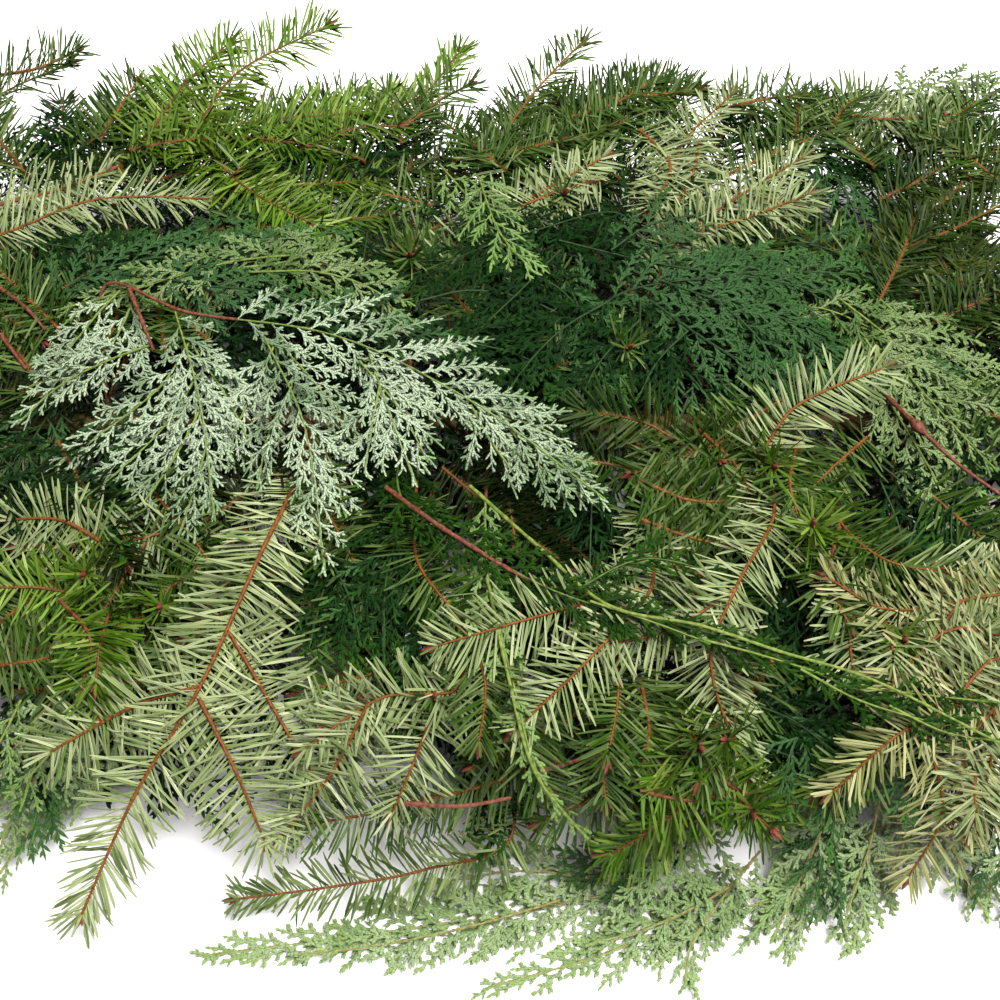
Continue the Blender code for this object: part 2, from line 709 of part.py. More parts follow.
def matched(wanted, given):
    """Orders the given corners so that each meets the wanted corner nearest it, untwisted."""
    count = len(wanted)
    best = None
    for shift in range(count):
        for way in (1, -1):
            order = [(shift + way * k) % count for k in range(count)]
            total = sum(np.linalg.norm(wanted[k] - given[order[k]]) for k in range(count))
            if best is None or total < best[0]:
                best = (total, order)
    return best[1]


def tube(rings, tip):
    """Points and faces of a closed tube that ends in a point."""
    sides = len(rings[0])
    points = [corner for ring in rings for corner in ring] + [tip]
    faces = []
    for n in range(len(rings) - 1):
        for k in range(sides):
            j = (k + 1) % sides
            first = sides * n
            faces.append((first + k, first + j, first + sides + j, first + sides + k))
    last = sides * (len(rings) - 1)
    faces += [(last + k, last + (k + 1) % sides, len(points) - 1) for k in range(sides)]
    return points, faces


def needle(shoot, slot, length, lean, lift):
    """A needle on half a face: a slim point that leans forward along the stem."""
    base = slot_centre(shoot, slot)
    _, way, side, up = shoot.frames[slot[0]]
    out = slot_outward(shoot, slot)
    out = unit(side * (out @ side) + up * (out @ up) * NEEDLE_FLATNESS + up * lift)
    way = unit(out * math.sin(lean) + way * math.cos(lean))
    return Blade(slot, [], {}, base + way * length)


def needle_room(shoot, blade):
    """The room that a needle needs: a little more than it fills."""
    base = slot_centre(shoot, blade.slot)
    way = unit(blade.tip - base)
    frame = (base + way * 0.8, way, *two_sides(way))
    end = (blade.tip, way, *two_sides(way))
    return tube([corners(frame, 0.9, 0.9), corners(end, CLEAR, CLEAR)], blade.tip + way * CLEAR)


def two_sides(way):
    other = np.array([0.0, 0.0, 1.0]) if abs(way[2]) < 0.8 else np.array([1.0, 0.0, 0.0])
    side = unit(np.cross(way, other))
    return side, np.cross(side, way)


def leaflet_frame(shoot, slot, angle, lift):
    _, forward, side, up = shoot.frames[slot[0]]
    hand = 1.0 if slot[1] == 3 else -1.0
    way = unit(side * hand * math.sin(angle) + forward * math.cos(angle) + up * math.tan(lift))
    flat_up = square_to(up, way)
    return way, unit(np.cross(way, flat_up)), flat_up


def leaflet(shoot, slot, length, angle, lift):
    """A plain leaflet: its side of the rib drawn out to a point."""
    way, _, flat_up = leaflet_frame(shoot, slot, angle, lift)
    base = slot_centre(shoot, slot)
    droop = 0.0 if base[2] < SURFACE_BAND else 0.04 * length
    return Blade(slot, [], {}, base + way * length - flat_up * droop)


def leaflet_room(shoot, blade):
    """The room that a plain leaflet needs."""
    base = slot_centre(shoot, blade.slot)
    near = [0.9 * corner + 0.1 * blade.tip for corner in slot_corners(shoot, blade.slot)]
    middle = np.mean(near, axis=0)
    near = [corner + unit(corner - middle) * CLEAR for corner in near]
    way = unit(blade.tip - base)
    end = corners((blade.tip, way, *two_sides(way)), CLEAR, CLEAR)
    end = [end[k] for k in matched(near, end)]
    return tube([near, end], blade.tip + way * CLEAR)


def lobed_leaflet(shoot, slot, length, angle, lift, room=0.0):
    """A leaflet with a lobe on each side and a point, arched along its length."""
    base = slot_centre(shoot, slot)
    way, across, flat_up = leaflet_frame(shoot, slot, angle, lift)
    thick = BLADE_HALF_THICKNESS + room
    centre = base + way * length * 0.5 + flat_up * length * 0.035
    ring = corners((centre, way, across, flat_up), 1.5 + room, thick)
    out = min(length * 0.32, LOBE_LIMIT) + room
    lobes = {
        (0, face): base + way * length * 0.62 + across * sign * out - flat_up * length * 0.01
        for face, sign in ((3, 1.0), (1, -1.0))
    }
    tip = base + way * (length + room) - flat_up * length * 0.05
    return Blade(slot, [ring], lobes, tip)


def lobed_room(shoot, blade):
    """The leaflet as points and faces, with the stretch next to its rib left off."""
    ring = blade.rings[0]
    base = slot_centre(shoot, blade.slot)
    near = [0.75 * base + 0.25 * corner for corner in ring]
    points, faces = tube([near, ring], blade.tip)
    for (_, face), tip in blade.lobes.items():
        after = (face + 1) % 4
        end = len(points)
        points.append(tip)
        rim = (face, after, 4 + after, 4 + face)
        faces += [(rim[k], rim[(k + 1) % 4], end) for k in range(4)]
    return points, faces


def tree_of(shapes):
    points, faces = [], []
    for shape_points, shape_faces in shapes:
        first = len(points)
        points += [tuple(p) for p in shape_points]
        faces += [tuple(first + k for k in face) for face in shape_faces]
    return BVHTree.FromPolygons(points, faces) if faces else None


def own_shape(shoot, blade):
    """A blade exactly as it is drawn from its face, with no room added."""
    base = slot_corners(shoot, blade.slot)
    if not blade.rings:
        return tube([base], blade.tip)
    base = [base[k] for k in matched(blade.rings[0], base)]
    points, faces = tube([base] + blade.rings, blade.tip)
    for (_, face), tip in blade.lobes.items():
        after = (face + 1) % 4
        end = len(points)
        points.append(tip)
        rim = (face, after, 4 + after, 4 + face)
        faces.remove(rim)
        faces += [(rim[k], rim[(k + 1) % 4], end) for k in range(4)]
    return points, faces


def crosses(shape, others):
    """Whether a blade crosses near ones of its own stem, which it may share corners with."""
    points, faces = [], []
    for other_points, other_faces in others:
        first = len(points)
        points += [tuple(p) for p in other_points]
        faces += [tuple(first + k for k in face) for face in other_faces]
    if not faces:
        return False
    own = BVHTree.FromPolygons([tuple(p) for p in shape[0]], shape[1])
    for mine, theirs in own.overlap(BVHTree.FromPolygons(points, faces)):
        here = {tuple(np.round(shape[0][k], 5)) for k in shape[1][mine]}
        there = {tuple(np.round(points[k], 5)) for k in faces[theirs]}
        if not here & there:
            return True
    return False


def clear_of(shape, trees):
    own = tree_of([shape])
    return not any(tree is not None and own.overlap(tree) for tree in trees)


def stem_shape(shoot):
    if shoot.parent < 0:
        return tube(shoot.rings, shoot.tip)
    order = matched(shoot.rings[0], shoot.base)
    return tube([[shoot.base[k] for k in order]] + shoot.rings, shoot.tip)


def stem_beyond(shoot, segment):
    """The stretches of a stem that a blade on one segment could run into."""
    parts = (shoot.rings[: max(0, segment - 1)], shoot.rings[segment + 3 :])
    return [rings for rings in parts if len(rings) > 1]


def rope_shape():
    ends = [np.array([x, ROPE_Y, ROPE_Z]) for x in (-ROPE_HALF_LENGTH, ROPE_HALF_LENGTH)]
    along = np.array([1.0, 0, 0])
    sides = (np.array([0, 1.0, 0]), np.array([0, 0, 1.0]))
    rings = [corners((end, along, *sides), ROPE_RADIUS, ROPE_RADIUS) for end in ends]
    return tube(rings, ends[1])


def wire_shape():
    line = wire_line()
    rings = []
    for n, point in enumerate(line):
        way = unit(line[min(n + 1, len(line) - 1)] - line[max(n - 1, 0)])
        rings.append(corners((point, way, *two_sides(way)), WIRE_RADIUS, WIRE_RADIUS))
    return tube(rings, line[-1])


def frond_envelope(u):
    """How long the leaflets are along a frond: full in its lower half, short at its tip."""
    return min(1.0, 0.55 + 2.2 * u) * (1 - u) ** 0.62


def plan_blades(shoots):
    """Sets needles and leaflets one by one, bent clear of every other spray or left off."""
    rng = np.random.default_rng(SEED)
    by_spray = {}
    for shoot in shoots:
        by_spray.setdefault(shoot.spray, []).append(shoot)
    stems = {name: [stem_shape(s) for s in own] for name, own in by_spray.items()}
    core = [rope_shape(), wire_shape()]
    placed = {}
    dropped = 0
    for name, own in by_spray.items():
        others = [shape for other, shapes in stems.items() if other != name for shape in shapes]
        others += [shape for shapes in placed.values() for shape in shapes]
        outside = tree_of(others + core)
        mine = []
        for shoot in own:
            kin = tree_of([stem_shape(s) for s in own if s is not shoot] + mine)
            here = []
            for slot in shoot.slots:
                rest = [shape for at, shape, _ in here if abs(at - slot[0]) > 3]
                rest += [tube(rings, rings[-1][0]) for rings in stem_beyond(shoot, slot[0])]
                near = [exact for at, _, exact in here if abs(at - slot[0]) <= 3]
                low, high = max(0, slot[0] - 2), slot[0] + 4
                near.append(tube(shoot.rings[low:high], np.mean(shoot.rings[low:high][-1], axis=0)))
                near += [stem_shape(s) for s in own if s is not shoot]
                trees = (outside, kin, tree_of(rest))
                blade, shape = grown_blade(shoot, slot, trees, near, rng)
                if blade is None:
                    dropped += 1
                    continue
                shoot.blades.append(blade)
                here.append((slot[0], shape, own_shape(shoot, blade)))
            mine += [shape for _, shape, _ in here]
        placed[name] = mine
    print("blades left off:", dropped, "kept:", sum(len(s.blades) for s in shoots))


def grown_blade(shoot, slot, trees, near, rng):
    """The first form of a blade that touches nothing, or none."""
    u = shoot.share[slot[0]]
    jitter = rng.uniform(-1, 1, 3)
    lowest = BLADE_HALF_THICKNESS if shoot.lies_flat() else 0.6
    if shoot.kind == FIR:
        length = NEEDLE_LENGTH.get(shoot.spray, USUAL_NEEDLE)
        length *= (1 - 0.35 * max(0.0, u - 0.8) / 0.2) * (1 + 0.08 * jitter[0])
        lean = NEEDLE_LEANS[slot[2]] * (1 - 0.15 * u) + 0.06 * jitter[1]
        tries = [(1, 0, 0), (1, 0.2, 0.1), (1, -0.15, 0.1), (1, 0, 0.5), (1, 0, -0.45)]
        tries += [(0.75, 0.1, 0.25), (0.75, -0.1, -0.2), (0.55, 0, 0)]
        for scale, turn, lift in tries:
            turned = lean + turn
            blade = needle(shoot, slot, length * scale, turned, lift + 0.1 * jitter[2])
            shape = needle_room(shoot, blade)
            if blade.tip[2] > lowest and clear_of(shape, trees):
                if not crosses(own_shape(shoot, blade), near):
                    return blade, shape
        return None, None
    flat = shoot.lies_flat() and slot_centre(shoot, slot)[2] < SURFACE_BAND
    lobed = shoot.spray in LOBED_SPRAYS
    reach = FROND_REACH.get(shoot.spray, LEAFLET_REACH)
    length = max(6.0, reach * frond_envelope(u) * (1 + 0.16 * jitter[0]))
    angle = LEAFLET_ANGLE * (1.1 - 0.35 * u) + 0.04 * jitter[1]
    lifts = (0.0,) if flat else (0.0, 0.22, -0.22, 0.45, -0.42)
    for scale in (1, 0.8, 0.6, 0.42):
        for lift in lifts:
            lift = lift if flat else lift + 0.05 * jitter[2]
            if lobed:
                blade = lobed_leaflet(shoot, slot, length * scale, angle, lift)
                roomy = lobed_leaflet(shoot, slot, length * scale, angle, lift, CLEAR)
                shape = lobed_room(shoot, roomy)
            else:
                blade = leaflet(shoot, slot, length * scale, angle, lift)
                shape = leaflet_room(shoot, blade)
            low = min([blade.tip[2]] + [tip[2] for tip in blade.lobes.values()])
            if low > lowest - 0.01 and clear_of(shape, trees):
                if not crosses(own_shape(shoot, blade), near):
                    return blade, shape
    return None, None


def to_metres(point):
    return tuple(float(c) * MM for c in point)


def lengthened(bm, cap, order, ring):
    """Extrudes a cap to the next ring, and returns the new cap, its corners and the sides."""
    made = bmesh.ops.extrude_discrete_faces(bm, faces=[cap])["faces"][0]
    near = {tuple(round(c, 9) for c in corner.co): k for k, corner in enumerate(order)}
    fresh = [None] * len(order)
    for corner in made.verts:
        fresh[near[tuple(round(c, 9) for c in corner.co)]] = corner
    for corner, place in zip(fresh, ring):
        corner.co = to_metres(place)
    sides = []
    for k in range(len(order)):
        j = (k + 1) % len(order)
        sides.append((order[k], order[j], fresh[j], fresh[k]))
    return made, fresh, sides


def slot_face(bm, sides, slot):
    """The face of a stretch that a slot names, cut in half first where the slot is a half."""
    near, after, far_after, far = sides[slot[1]]
    whole = bm.faces.get((near, after, far_after, far))
    if slot[2] is None:
        return whole
    if whole is not None:
        bmesh.utils.face_split(whole, near, far_after)
    if slot[2] == 0:
        return bm.faces.get((near, after, far_after))
    return bm.faces.get((near, far_after, far))


def drawn_out(bm, face, tip):
    """Draws a face out to a point."""
    apex = bmesh.ops.poke(bm, faces=[face])["verts"][0]
    apex.co = to_metres(tip)


def corners_in_order(face, ring):
    """A face's corners, in the order of the ring that it is to be drawn out to."""
    given = list(face.verts)
    return [given[k] for k in matched(ring, [np.array(corner.co) / MM for corner in given])]


def add_blade(bm, face, blade):
    cap = face
    stretches = []
    order = corners_in_order(face, blade.rings[0]) if blade.rings else None
    for ring in blade.rings:
        cap, order, sides = lengthened(bm, cap, order, ring)
        stretches.append(sides)
    drawn_out(bm, cap, blade.tip)
    for (n, lobe_face), tip in blade.lobes.items():
        drawn_out(bm, slot_face(bm, stretches[n], (n, lobe_face, None)), tip)


def add_shoot(bm, shoot, cap, order, shoots, index):
    stretches = []
    for ring in shoot.rings[1:] if shoot.parent < 0 else shoot.rings:
        cap, order, sides = lengthened(bm, cap, order, ring)
        stretches.append(sides)
    if shoot.parent >= 0:
        stretches = stretches[1:]
    drawn_out(bm, cap, shoot.tip)
    for blade in shoot.blades:
        add_blade(bm, slot_face(bm, stretches[blade.slot[0]], blade.slot), blade)
    for number, child in enumerate(shoots):
        if child.parent == index:
            face = slot_face(bm, stretches[child.start[0]], child.start)
            add_shoot(bm, child, face, corners_in_order(face, child.rings[0]), shoots, number)


def material(name, colour, roughness=0.6):
    made = bpy.data.materials.new(name)
    made.use_nodes = True
    shader = made.node_tree.nodes["Principled BSDF"]
    shader.inputs["Base Color"].default_value = (*colour, 1.0)
    shader.inputs["Roughness"].default_value = roughness
    shader.inputs["Metallic"].default_value = 0.0
    made.diffuse_color = (*colour, 1.0)
    return made


def add_object(name, bm, colour, roughness=0.6):
    mesh = bpy.data.meshes.new(name)
    bmesh.ops.recalc_face_normals(bm, faces=bm.faces)
    if bm.calc_volume(signed=True) < 0:
        bmesh.ops.reverse_faces(bm, faces=bm.faces)
    bm.to_mesh(mesh)
    bm.free()
    made = bpy.data.objects.new(name, mesh)
    bpy.context.scene.collection.objects.link(made)
    mesh.materials.append(material(name + "_finish", colour, roughness))
    return made


def spray_body(name, shoots):
    """One spray as a single body: its stem first, then blades and side shoots drawn from it."""
    index = next(k for k, s in enumerate(shoots) if s.spray == name and s.parent < 0)
    main = shoots[index]
    bm = bmesh.new()
    butt = [bm.verts.new(to_metres(corner)) for corner in main.rings[0]]
    add_shoot(bm, main, bm.faces.new(butt), butt, shoots, index)
    bmesh.ops.holes_fill(bm, edges=bm.edges, sides=main.sides())
    bmesh.ops.triangulate(bm, faces=bm.faces, quad_method="SHORT_EDGE")
    return bm


def place_key(point):
    return tuple(round(c, 6) for c in point)


def crossing_places(bm):
    """The corners of faces that cross another face of the same body."""
    tree = BVHTree.FromBMesh(bm)
    bm.faces.ensure_lookup_table()
    found = set()
    for a, b in tree.overlap(tree):
        first, second = bm.faces[a].verts, bm.faces[b].verts
        if not set(first) & set(second):
            found |= {place_key(corner.co) for corner in first}
    return found


def add_spray(name, shoots):
    """Builds a spray, and leaves off the few blades that would cross it in the finished body."""
    own = [shoot for shoot in shoots if shoot.spray == name]
    bm = spray_body(name, shoots)
    crossed = crossing_places(bm)
    while crossed:
        before = sum(len(shoot.blades) for shoot in own)
        for shoot in own:
            shoot.blades = [b for b in shoot.blades if place_key(to_metres(b.tip)) not in crossed]
        if sum(len(shoot.blades) for shoot in own) == before:
            break
        bm.free()
        bm = spray_body(name, shoots)
        crossed = crossing_places(bm)
    if crossed:
        print(name, "still crosses itself", len(crossed))
    add_object(name, bm, TINTS[SPRAYS[name][1]])


def add_rope():
    bm = bmesh.new()
    bmesh.ops.create_cone(
        bm,
        cap_ends=True,
        segments=ROPE_SIDES,
        radius1=ROPE_RADIUS * MM,
        radius2=ROPE_RADIUS * MM,
        depth=2 * ROPE_HALF_LENGTH * MM,
    )
    rope = add_object("core_rope", bm, TINTS["rope"], 0.9)
    rope.rotation_euler = (0, math.radians(90), 0)
    rope.location = to_metres((0, ROPE_Y, ROPE_Z))


def add_wire():
    curve = bpy.data.curves.new("binding_wire", "CURVE")
    curve.dimensions = "3D"
    curve.bevel_depth = WIRE_RADIUS * MM
    curve.bevel_resolution = 0
    curve.use_fill_caps = True
    line = wire_line()
    spline = curve.splines.new("POLY")
    spline.points.add(len(line) - 1)
    for point, place in zip(spline.points, line):
        point.co = (*to_metres(place), 1.0)
    wire = bpy.data.objects.new("binding_wire", curve)
    bpy.context.scene.collection.objects.link(wire)
    curve.materials.append(material("wire_finish", TINTS["wire"], 0.35))


def main():
    for thing in list(bpy.data.objects):
        bpy.data.objects.remove(thing)
    shoots = plan_lines()
    bend_clear(shoots)
    for shoot in shoots:
        if shoot.parent < 0:
            plan_rings(shoot)
    seat_branches(shoots)
    for shoot in shoots:
        if shoot.parent >= 0:
            plan_rings(shoot)
    plan_blades(shoots)
    add_rope()
    add_wire()
    for name in SPRAYS:
        add_spray(name, shoots)


main()
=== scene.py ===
# %% [markdown]
# # A fir and cedar garland
#
# The garland is sprays of fir and cedar bound to a rope. The CAD model holds every spray's twig
# with a few true-size needles or leaflets on it. Here each spray gets all its foliage: thousands
# of flat needles on the fir, and scale-clad fans on the cedar. Foliage is grown in millimetres
# and made into meshes in metres, in the frame of the CAD model, with the garland along X and its
# front edge at -Y.

# %% Load the frame
import math

import bmesh
import bpy
import numpy as np
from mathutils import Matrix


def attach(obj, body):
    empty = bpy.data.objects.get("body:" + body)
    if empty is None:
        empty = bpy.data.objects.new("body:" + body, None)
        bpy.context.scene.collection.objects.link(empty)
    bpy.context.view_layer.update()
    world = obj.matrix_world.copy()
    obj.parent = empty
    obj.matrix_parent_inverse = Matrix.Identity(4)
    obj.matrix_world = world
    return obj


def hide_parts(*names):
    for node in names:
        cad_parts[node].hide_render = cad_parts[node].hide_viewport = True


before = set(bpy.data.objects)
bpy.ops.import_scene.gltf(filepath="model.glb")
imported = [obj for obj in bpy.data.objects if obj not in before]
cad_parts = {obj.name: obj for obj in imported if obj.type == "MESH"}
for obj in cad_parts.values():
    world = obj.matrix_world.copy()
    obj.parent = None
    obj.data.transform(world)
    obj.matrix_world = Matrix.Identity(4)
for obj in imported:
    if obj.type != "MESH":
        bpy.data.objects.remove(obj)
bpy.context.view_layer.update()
MM = 0.001

# %% [markdown]
# ## Camera
#
# The photograph looks down at the garland from its front, about 56 degrees above the surface,
# and takes in 440 mm of its length. A lens of 52 mm from 640 mm away gives that picture.

# %% Camera
ELEVATION = math.radians(56)
DISTANCE = 0.64
AIM = np.array([0.0, -0.03, 0.05])
FRAME_WIDTH = 0.44
SENSOR = 36.0


def placed(name, data):
    """A new object with this data, in the scene."""
    made = bpy.data.objects.new(name, data)
    bpy.context.scene.collection.objects.link(made)
    return made


lens = bpy.data.cameras.new("camera")
lens.sensor_width = SENSOR
lens.lens = SENSOR * DISTANCE / FRAME_WIDTH
lens.clip_start = 0.01
camera = placed("camera", lens)
camera.location = AIM + DISTANCE * np.array([0, -math.cos(ELEVATION), math.sin(ELEVATION)])
camera.rotation_euler = (math.pi / 2 - ELEVATION, 0, 0)
bpy.context.scene.camera = camera
print("lens, mm:", round(lens.lens, 1))

# %% [markdown]
# ## Colours
#
# A colour read off the photograph is the light that reaches the eye, which is the surface's own
# colour times the light on it. Dividing by that light gives the own colour. A leaf also mirrors
# the white lamp a little, which adds red and blue, so its own colour has less of both.

# %% Colours
LIT = 3.3
PALE_LIT = 1.85
BARK_LIT = 2.1
SHEEN_SHARE = np.array([0.66, 1.0, 0.45])


def paint(red, green, blue, lit=LIT):
    """A colour as it looks on screen under this light, from 0 to 255, as a surface's own colour."""
    shown = np.array([red, green, blue]) / 255
    linear = np.where(shown <= 0.04045, shown / 12.92, ((shown + 0.055) / 1.055) ** 2.4)
    return (*[float(c) / lit for c in linear], 1.0)


def leaf_paint(red, green, blue):
    """A leaf's own colour, with the red and blue of its sheen left out."""
    own = np.array(paint(red, green, blue)[:3]) * SHEEN_SHARE
    return (*[float(c) for c in own], 1.0)


print("own colour of a leaf seen as 104 134 48:", [round(c, 3) for c in leaf_paint(104, 134, 48)])

# %% [markdown]
# ## Floor and light
#
# The photograph's surface is nearly white and its shadows are soft. A big pale floor, an even
# white sky and one large lamp overhead do the same: the lamp draws each needle's edge, and the
# sky keeps the shadows open. The camera sees the sky brighter than it shines on the garland.

# %% Floor and light
FLOOR_SIZE = 4.0
SKY = 0.12
SKY_SEEN = 0.95
LAMP_PLACE = (0.8, -0.35, 3.0)
LAMP_SIZE = 1.95
LAMP_POWER = 292.0

floor_shape = bmesh.new()
bmesh.ops.create_grid(floor_shape, x_segments=1, y_segments=1, size=FLOOR_SIZE / 2)
floor_mesh = bpy.data.meshes.new("floor")
floor_shape.to_mesh(floor_mesh)
floor_shape.free()
floor = placed("floor", floor_mesh)
floor_paint = bpy.data.materials.new("floor_paint")
floor_paint.use_nodes = True
floor_shader = floor_paint.node_tree.nodes["Principled BSDF"]
floor_shader.inputs["Base Color"].default_value = paint(246, 245, 249, lit=1.0)
floor_shader.inputs["Roughness"].default_value = 0.85
floor_mesh.materials.append(floor_paint)

sky = bpy.data.worlds.new("sky")
sky.use_nodes = True
background = sky.node_tree.nodes["Background"]
background.inputs["Color"].default_value = (0.97, 0.98, 1.0, 1.0)
seen = sky.node_tree.nodes.new("ShaderNodeLightPath")
strength = sky.node_tree.nodes.new("ShaderNodeMapRange")
strength.inputs["To Min"].default_value = SKY
strength.inputs["To Max"].default_value = SKY_SEEN
sky.node_tree.links.new(seen.outputs["Is Camera Ray"], strength.inputs["Value"])
sky.node_tree.links.new(strength.outputs[0], background.inputs["Strength"])
bpy.context.scene.world = sky

lamp_data = bpy.data.lights.new("lamp", "AREA")
lamp_data.shape = "DISK"
lamp_data.size = LAMP_SIZE
lamp_data.energy = LAMP_POWER
lamp_data.color = (1.0, 0.98, 0.94)
lamp = placed("lamp", lamp_data)
lamp.location = LAMP_PLACE
beam = -np.array(LAMP_PLACE)
lamp_tilt = math.atan2(math.hypot(beam[0], beam[1]), -beam[2])
lamp.rotation_euler = (lamp_tilt, 0, math.atan2(beam[0], -beam[1]) + math.pi)
bpy.context.scene.view_settings.view_transform = "Standard"
print("sky", SKY, "lamp", LAMP_POWER, "W")

# %% [markdown]
# ## Finishes: a small desk of node helpers
#
# Every leaf carries four numbers that its finish reads: how far along the leaf a point is, how
# far across, a random tone, and a last one that says how much of its pale underside shows (on
# fir) or how near the fan's tip it grows (on cedar). The helpers below keep each finish short.

# %% Node helpers
MIX_A, MIX_B, MIX_RESULT = 6, 7, 2


class Desk:
    """A material's nodes, with one short call for each kind that the finishes use."""

    def __init__(self, name, roughness, specular):
        self.material = bpy.data.materials.new(name)
        self.material.use_nodes = True
        self.tree = self.material.node_tree
        self.shader = self.tree.nodes["Principled BSDF"]
        self.shader.inputs["Roughness"].default_value = roughness
        self.shader.inputs["Specular IOR Level"].default_value = specular

    def new(self, kind, **settings):
        node = self.tree.nodes.new(kind)
        for key, value in settings.items():
            setattr(node, key, value)
        return node

    def feed(self, socket, value):
        if isinstance(value, bpy.types.NodeSocket):
            self.tree.links.new(value, socket)
        else:
            socket.default_value = value

    def leaf(self):
        """Along, across, tone and the last number, as four sockets."""
        read = self.new("ShaderNodeAttribute", attribute_name="leaf")
        split = self.new("ShaderNodeSeparateColor")
        self.feed(split.inputs[0], read.outputs["Color"])
        return (*split.outputs, read.outputs["Alpha"])

    def maths(self, kind, a, b=0.0):
        node = self.new("ShaderNodeMath", operation=kind)
        self.feed(node.inputs[0], a)
        self.feed(node.inputs[1], b)
        return node.outputs[0]

    def from_middle(self, across):
        """How far a point is from the leaf's middle line, up to 0.5 at its edges."""
        return self.maths("ABSOLUTE", self.maths("SUBTRACT", across, 0.5))

    def within(self, value, low, high, give_low=0.0, give_high=1.0):
        """Turns a range of a value smoothly into another range."""
        node = self.new("ShaderNodeMapRange", interpolation_type="SMOOTHSTEP")
        for socket, given in zip(node.inputs, (value, low, high, give_low, give_high)):
            self.feed(socket, given)
        return node.outputs[0]

    def mix(self, share, a, b):
        node = self.new("ShaderNodeMix", data_type="RGBA")
        for number, value in ((0, share), (MIX_A, a), (MIX_B, b)):
            self.feed(node.inputs[number], value)
        return node.outputs[MIX_RESULT]

    def noise(self, scale, detail=2.0, stretch=(1, 1, 1)):
        place = self.new("ShaderNodeTexCoord")
        turn = self.new("ShaderNodeMapping")
        turn.inputs["Scale"].default_value = stretch
        grain = self.new("ShaderNodeTexNoise")
        grain.inputs["Scale"].default_value = scale
        grain.inputs["Detail"].default_value = detail
        self.feed(turn.inputs["Vector"], place.outputs["Object"])
        self.feed(grain.inputs["Vector"], turn.outputs[0])
        return grain.outputs[0]

    def bump(self, height, strength, distance):
        node = self.new("ShaderNodeBump")
        node.inputs["Strength"].default_value = strength
        node.inputs["Distance"].default_value = distance
        self.feed(node.inputs["Height"], height)
        self.feed(self.shader.inputs["Normal"], node.outputs[0])

    def done(self, colour):
        self.feed(self.shader.inputs["Base Color"], colour)
        return self.material


print("node helpers:", [name for name in vars(Desk) if not name.startswith("_")])

# %% [markdown]
# ## Fir needles
#
# A fir needle is glossy green above. Below it has two pale bands, one each side of a green
# middle, and seen from a step away they turn the whole spray cream-green. The finish paints both
# and blends them by how much of its underside each needle turns up.

# %% Needle finish
NEEDLE_YELLOW = leaf_paint(205, 195, 110)
NEEDLE_BROWN = paint(150, 95, 55)
NEEDLE_COLOURS = {
    "fir_green": (((42, 76, 14), (104, 134, 48)), ((140, 160, 90), (186, 202, 136))),
    "fir_pale": (((76, 104, 34), (136, 158, 74)), ((150, 168, 102), (222, 230, 182))),
    "fir_olive": (((30, 52, 0), (92, 116, 30)), ((96, 116, 46), (132, 146, 72))),
    "fir_bright": (((58, 94, 0), (136, 168, 38)), ((140, 164, 60), (178, 194, 98))),
    "fir_straw": (((98, 108, 34), (154, 162, 78)), ((172, 174, 102), (236, 230, 180))),
    "fir_sun": (((104, 134, 18), (190, 212, 82)), ((166, 184, 96), (208, 218, 140))),
    "fir_grass": (((36, 70, 0), (104, 138, 22)), ((104, 130, 48), (146, 166, 78))),
    "fir_dark": (((20, 44, 2), (68, 94, 22)), ((84, 106, 48), (122, 138, 76))),
    # A darker copy of the fir greens: painted shade for needles deep inside the garland.
    "fir_painted_shade": (((6, 20, 0), (24, 42, 6)), ((26, 40, 10), (46, 60, 22))),
}


def needle_finish(name, greens, bands):
    desk = Desk(name, 0.45, 0.12)
    along, across, tone, under = desk.leaf()
    dark, light = (leaf_paint(*green) for green in greens)
    middle = desk.from_middle(across)
    top = desk.mix(tone, dark, light)
    top = desk.mix(desk.within(middle, 0.0, 0.1, 0.35, 0.0), top, NEEDLE_YELLOW)
    inner, outer = desk.within(middle, 0.05, 0.13), desk.within(middle, 0.47, 0.36)
    below = desk.mix(tone, *(paint(*band, lit=PALE_LIT) for band in bands))
    below = desk.mix(desk.maths("MULTIPLY", inner, outer), desk.mix(0.55, below, top), below)
    colour = desk.mix(under, top, below)
    colour = desk.mix(desk.within(along, 0.12, 0.0, 0.0, 0.5), colour, NEEDLE_YELLOW)
    colour = desk.mix(desk.within(desk.noise(70), 0.3, 0.7, 0.0, 0.3), colour, dark)
    tip, oldest = desk.within(along, 0.93, 1.0), desk.within(tone, 0.7, 1.0)
    colour = desk.mix(desk.maths("MULTIPLY", tip, oldest), colour, NEEDLE_BROWN)
    desk.bump(desk.within(middle, 0.0, 0.2), 0.4, 0.0003)
    return desk.done(colour)


NEEDLES = {name: needle_finish(name, *colours) for name, colours in NEEDLE_COLOURS.items()}
print("needle finishes:", list(NEEDLES))

# %% [markdown]
# ## Cedar scales
#
# Cedar foliage is cords of tiny overlapping scales. Above they are deep green or blue-green.
# Below, each scale has a white waxy bloom between green edges, so a turned-up fan looks silver
# with fine green lines. Young growth at a fan's tips is yellow-green and has little bloom.

# %% Scale finish
SCALES_ALONG = 3.0
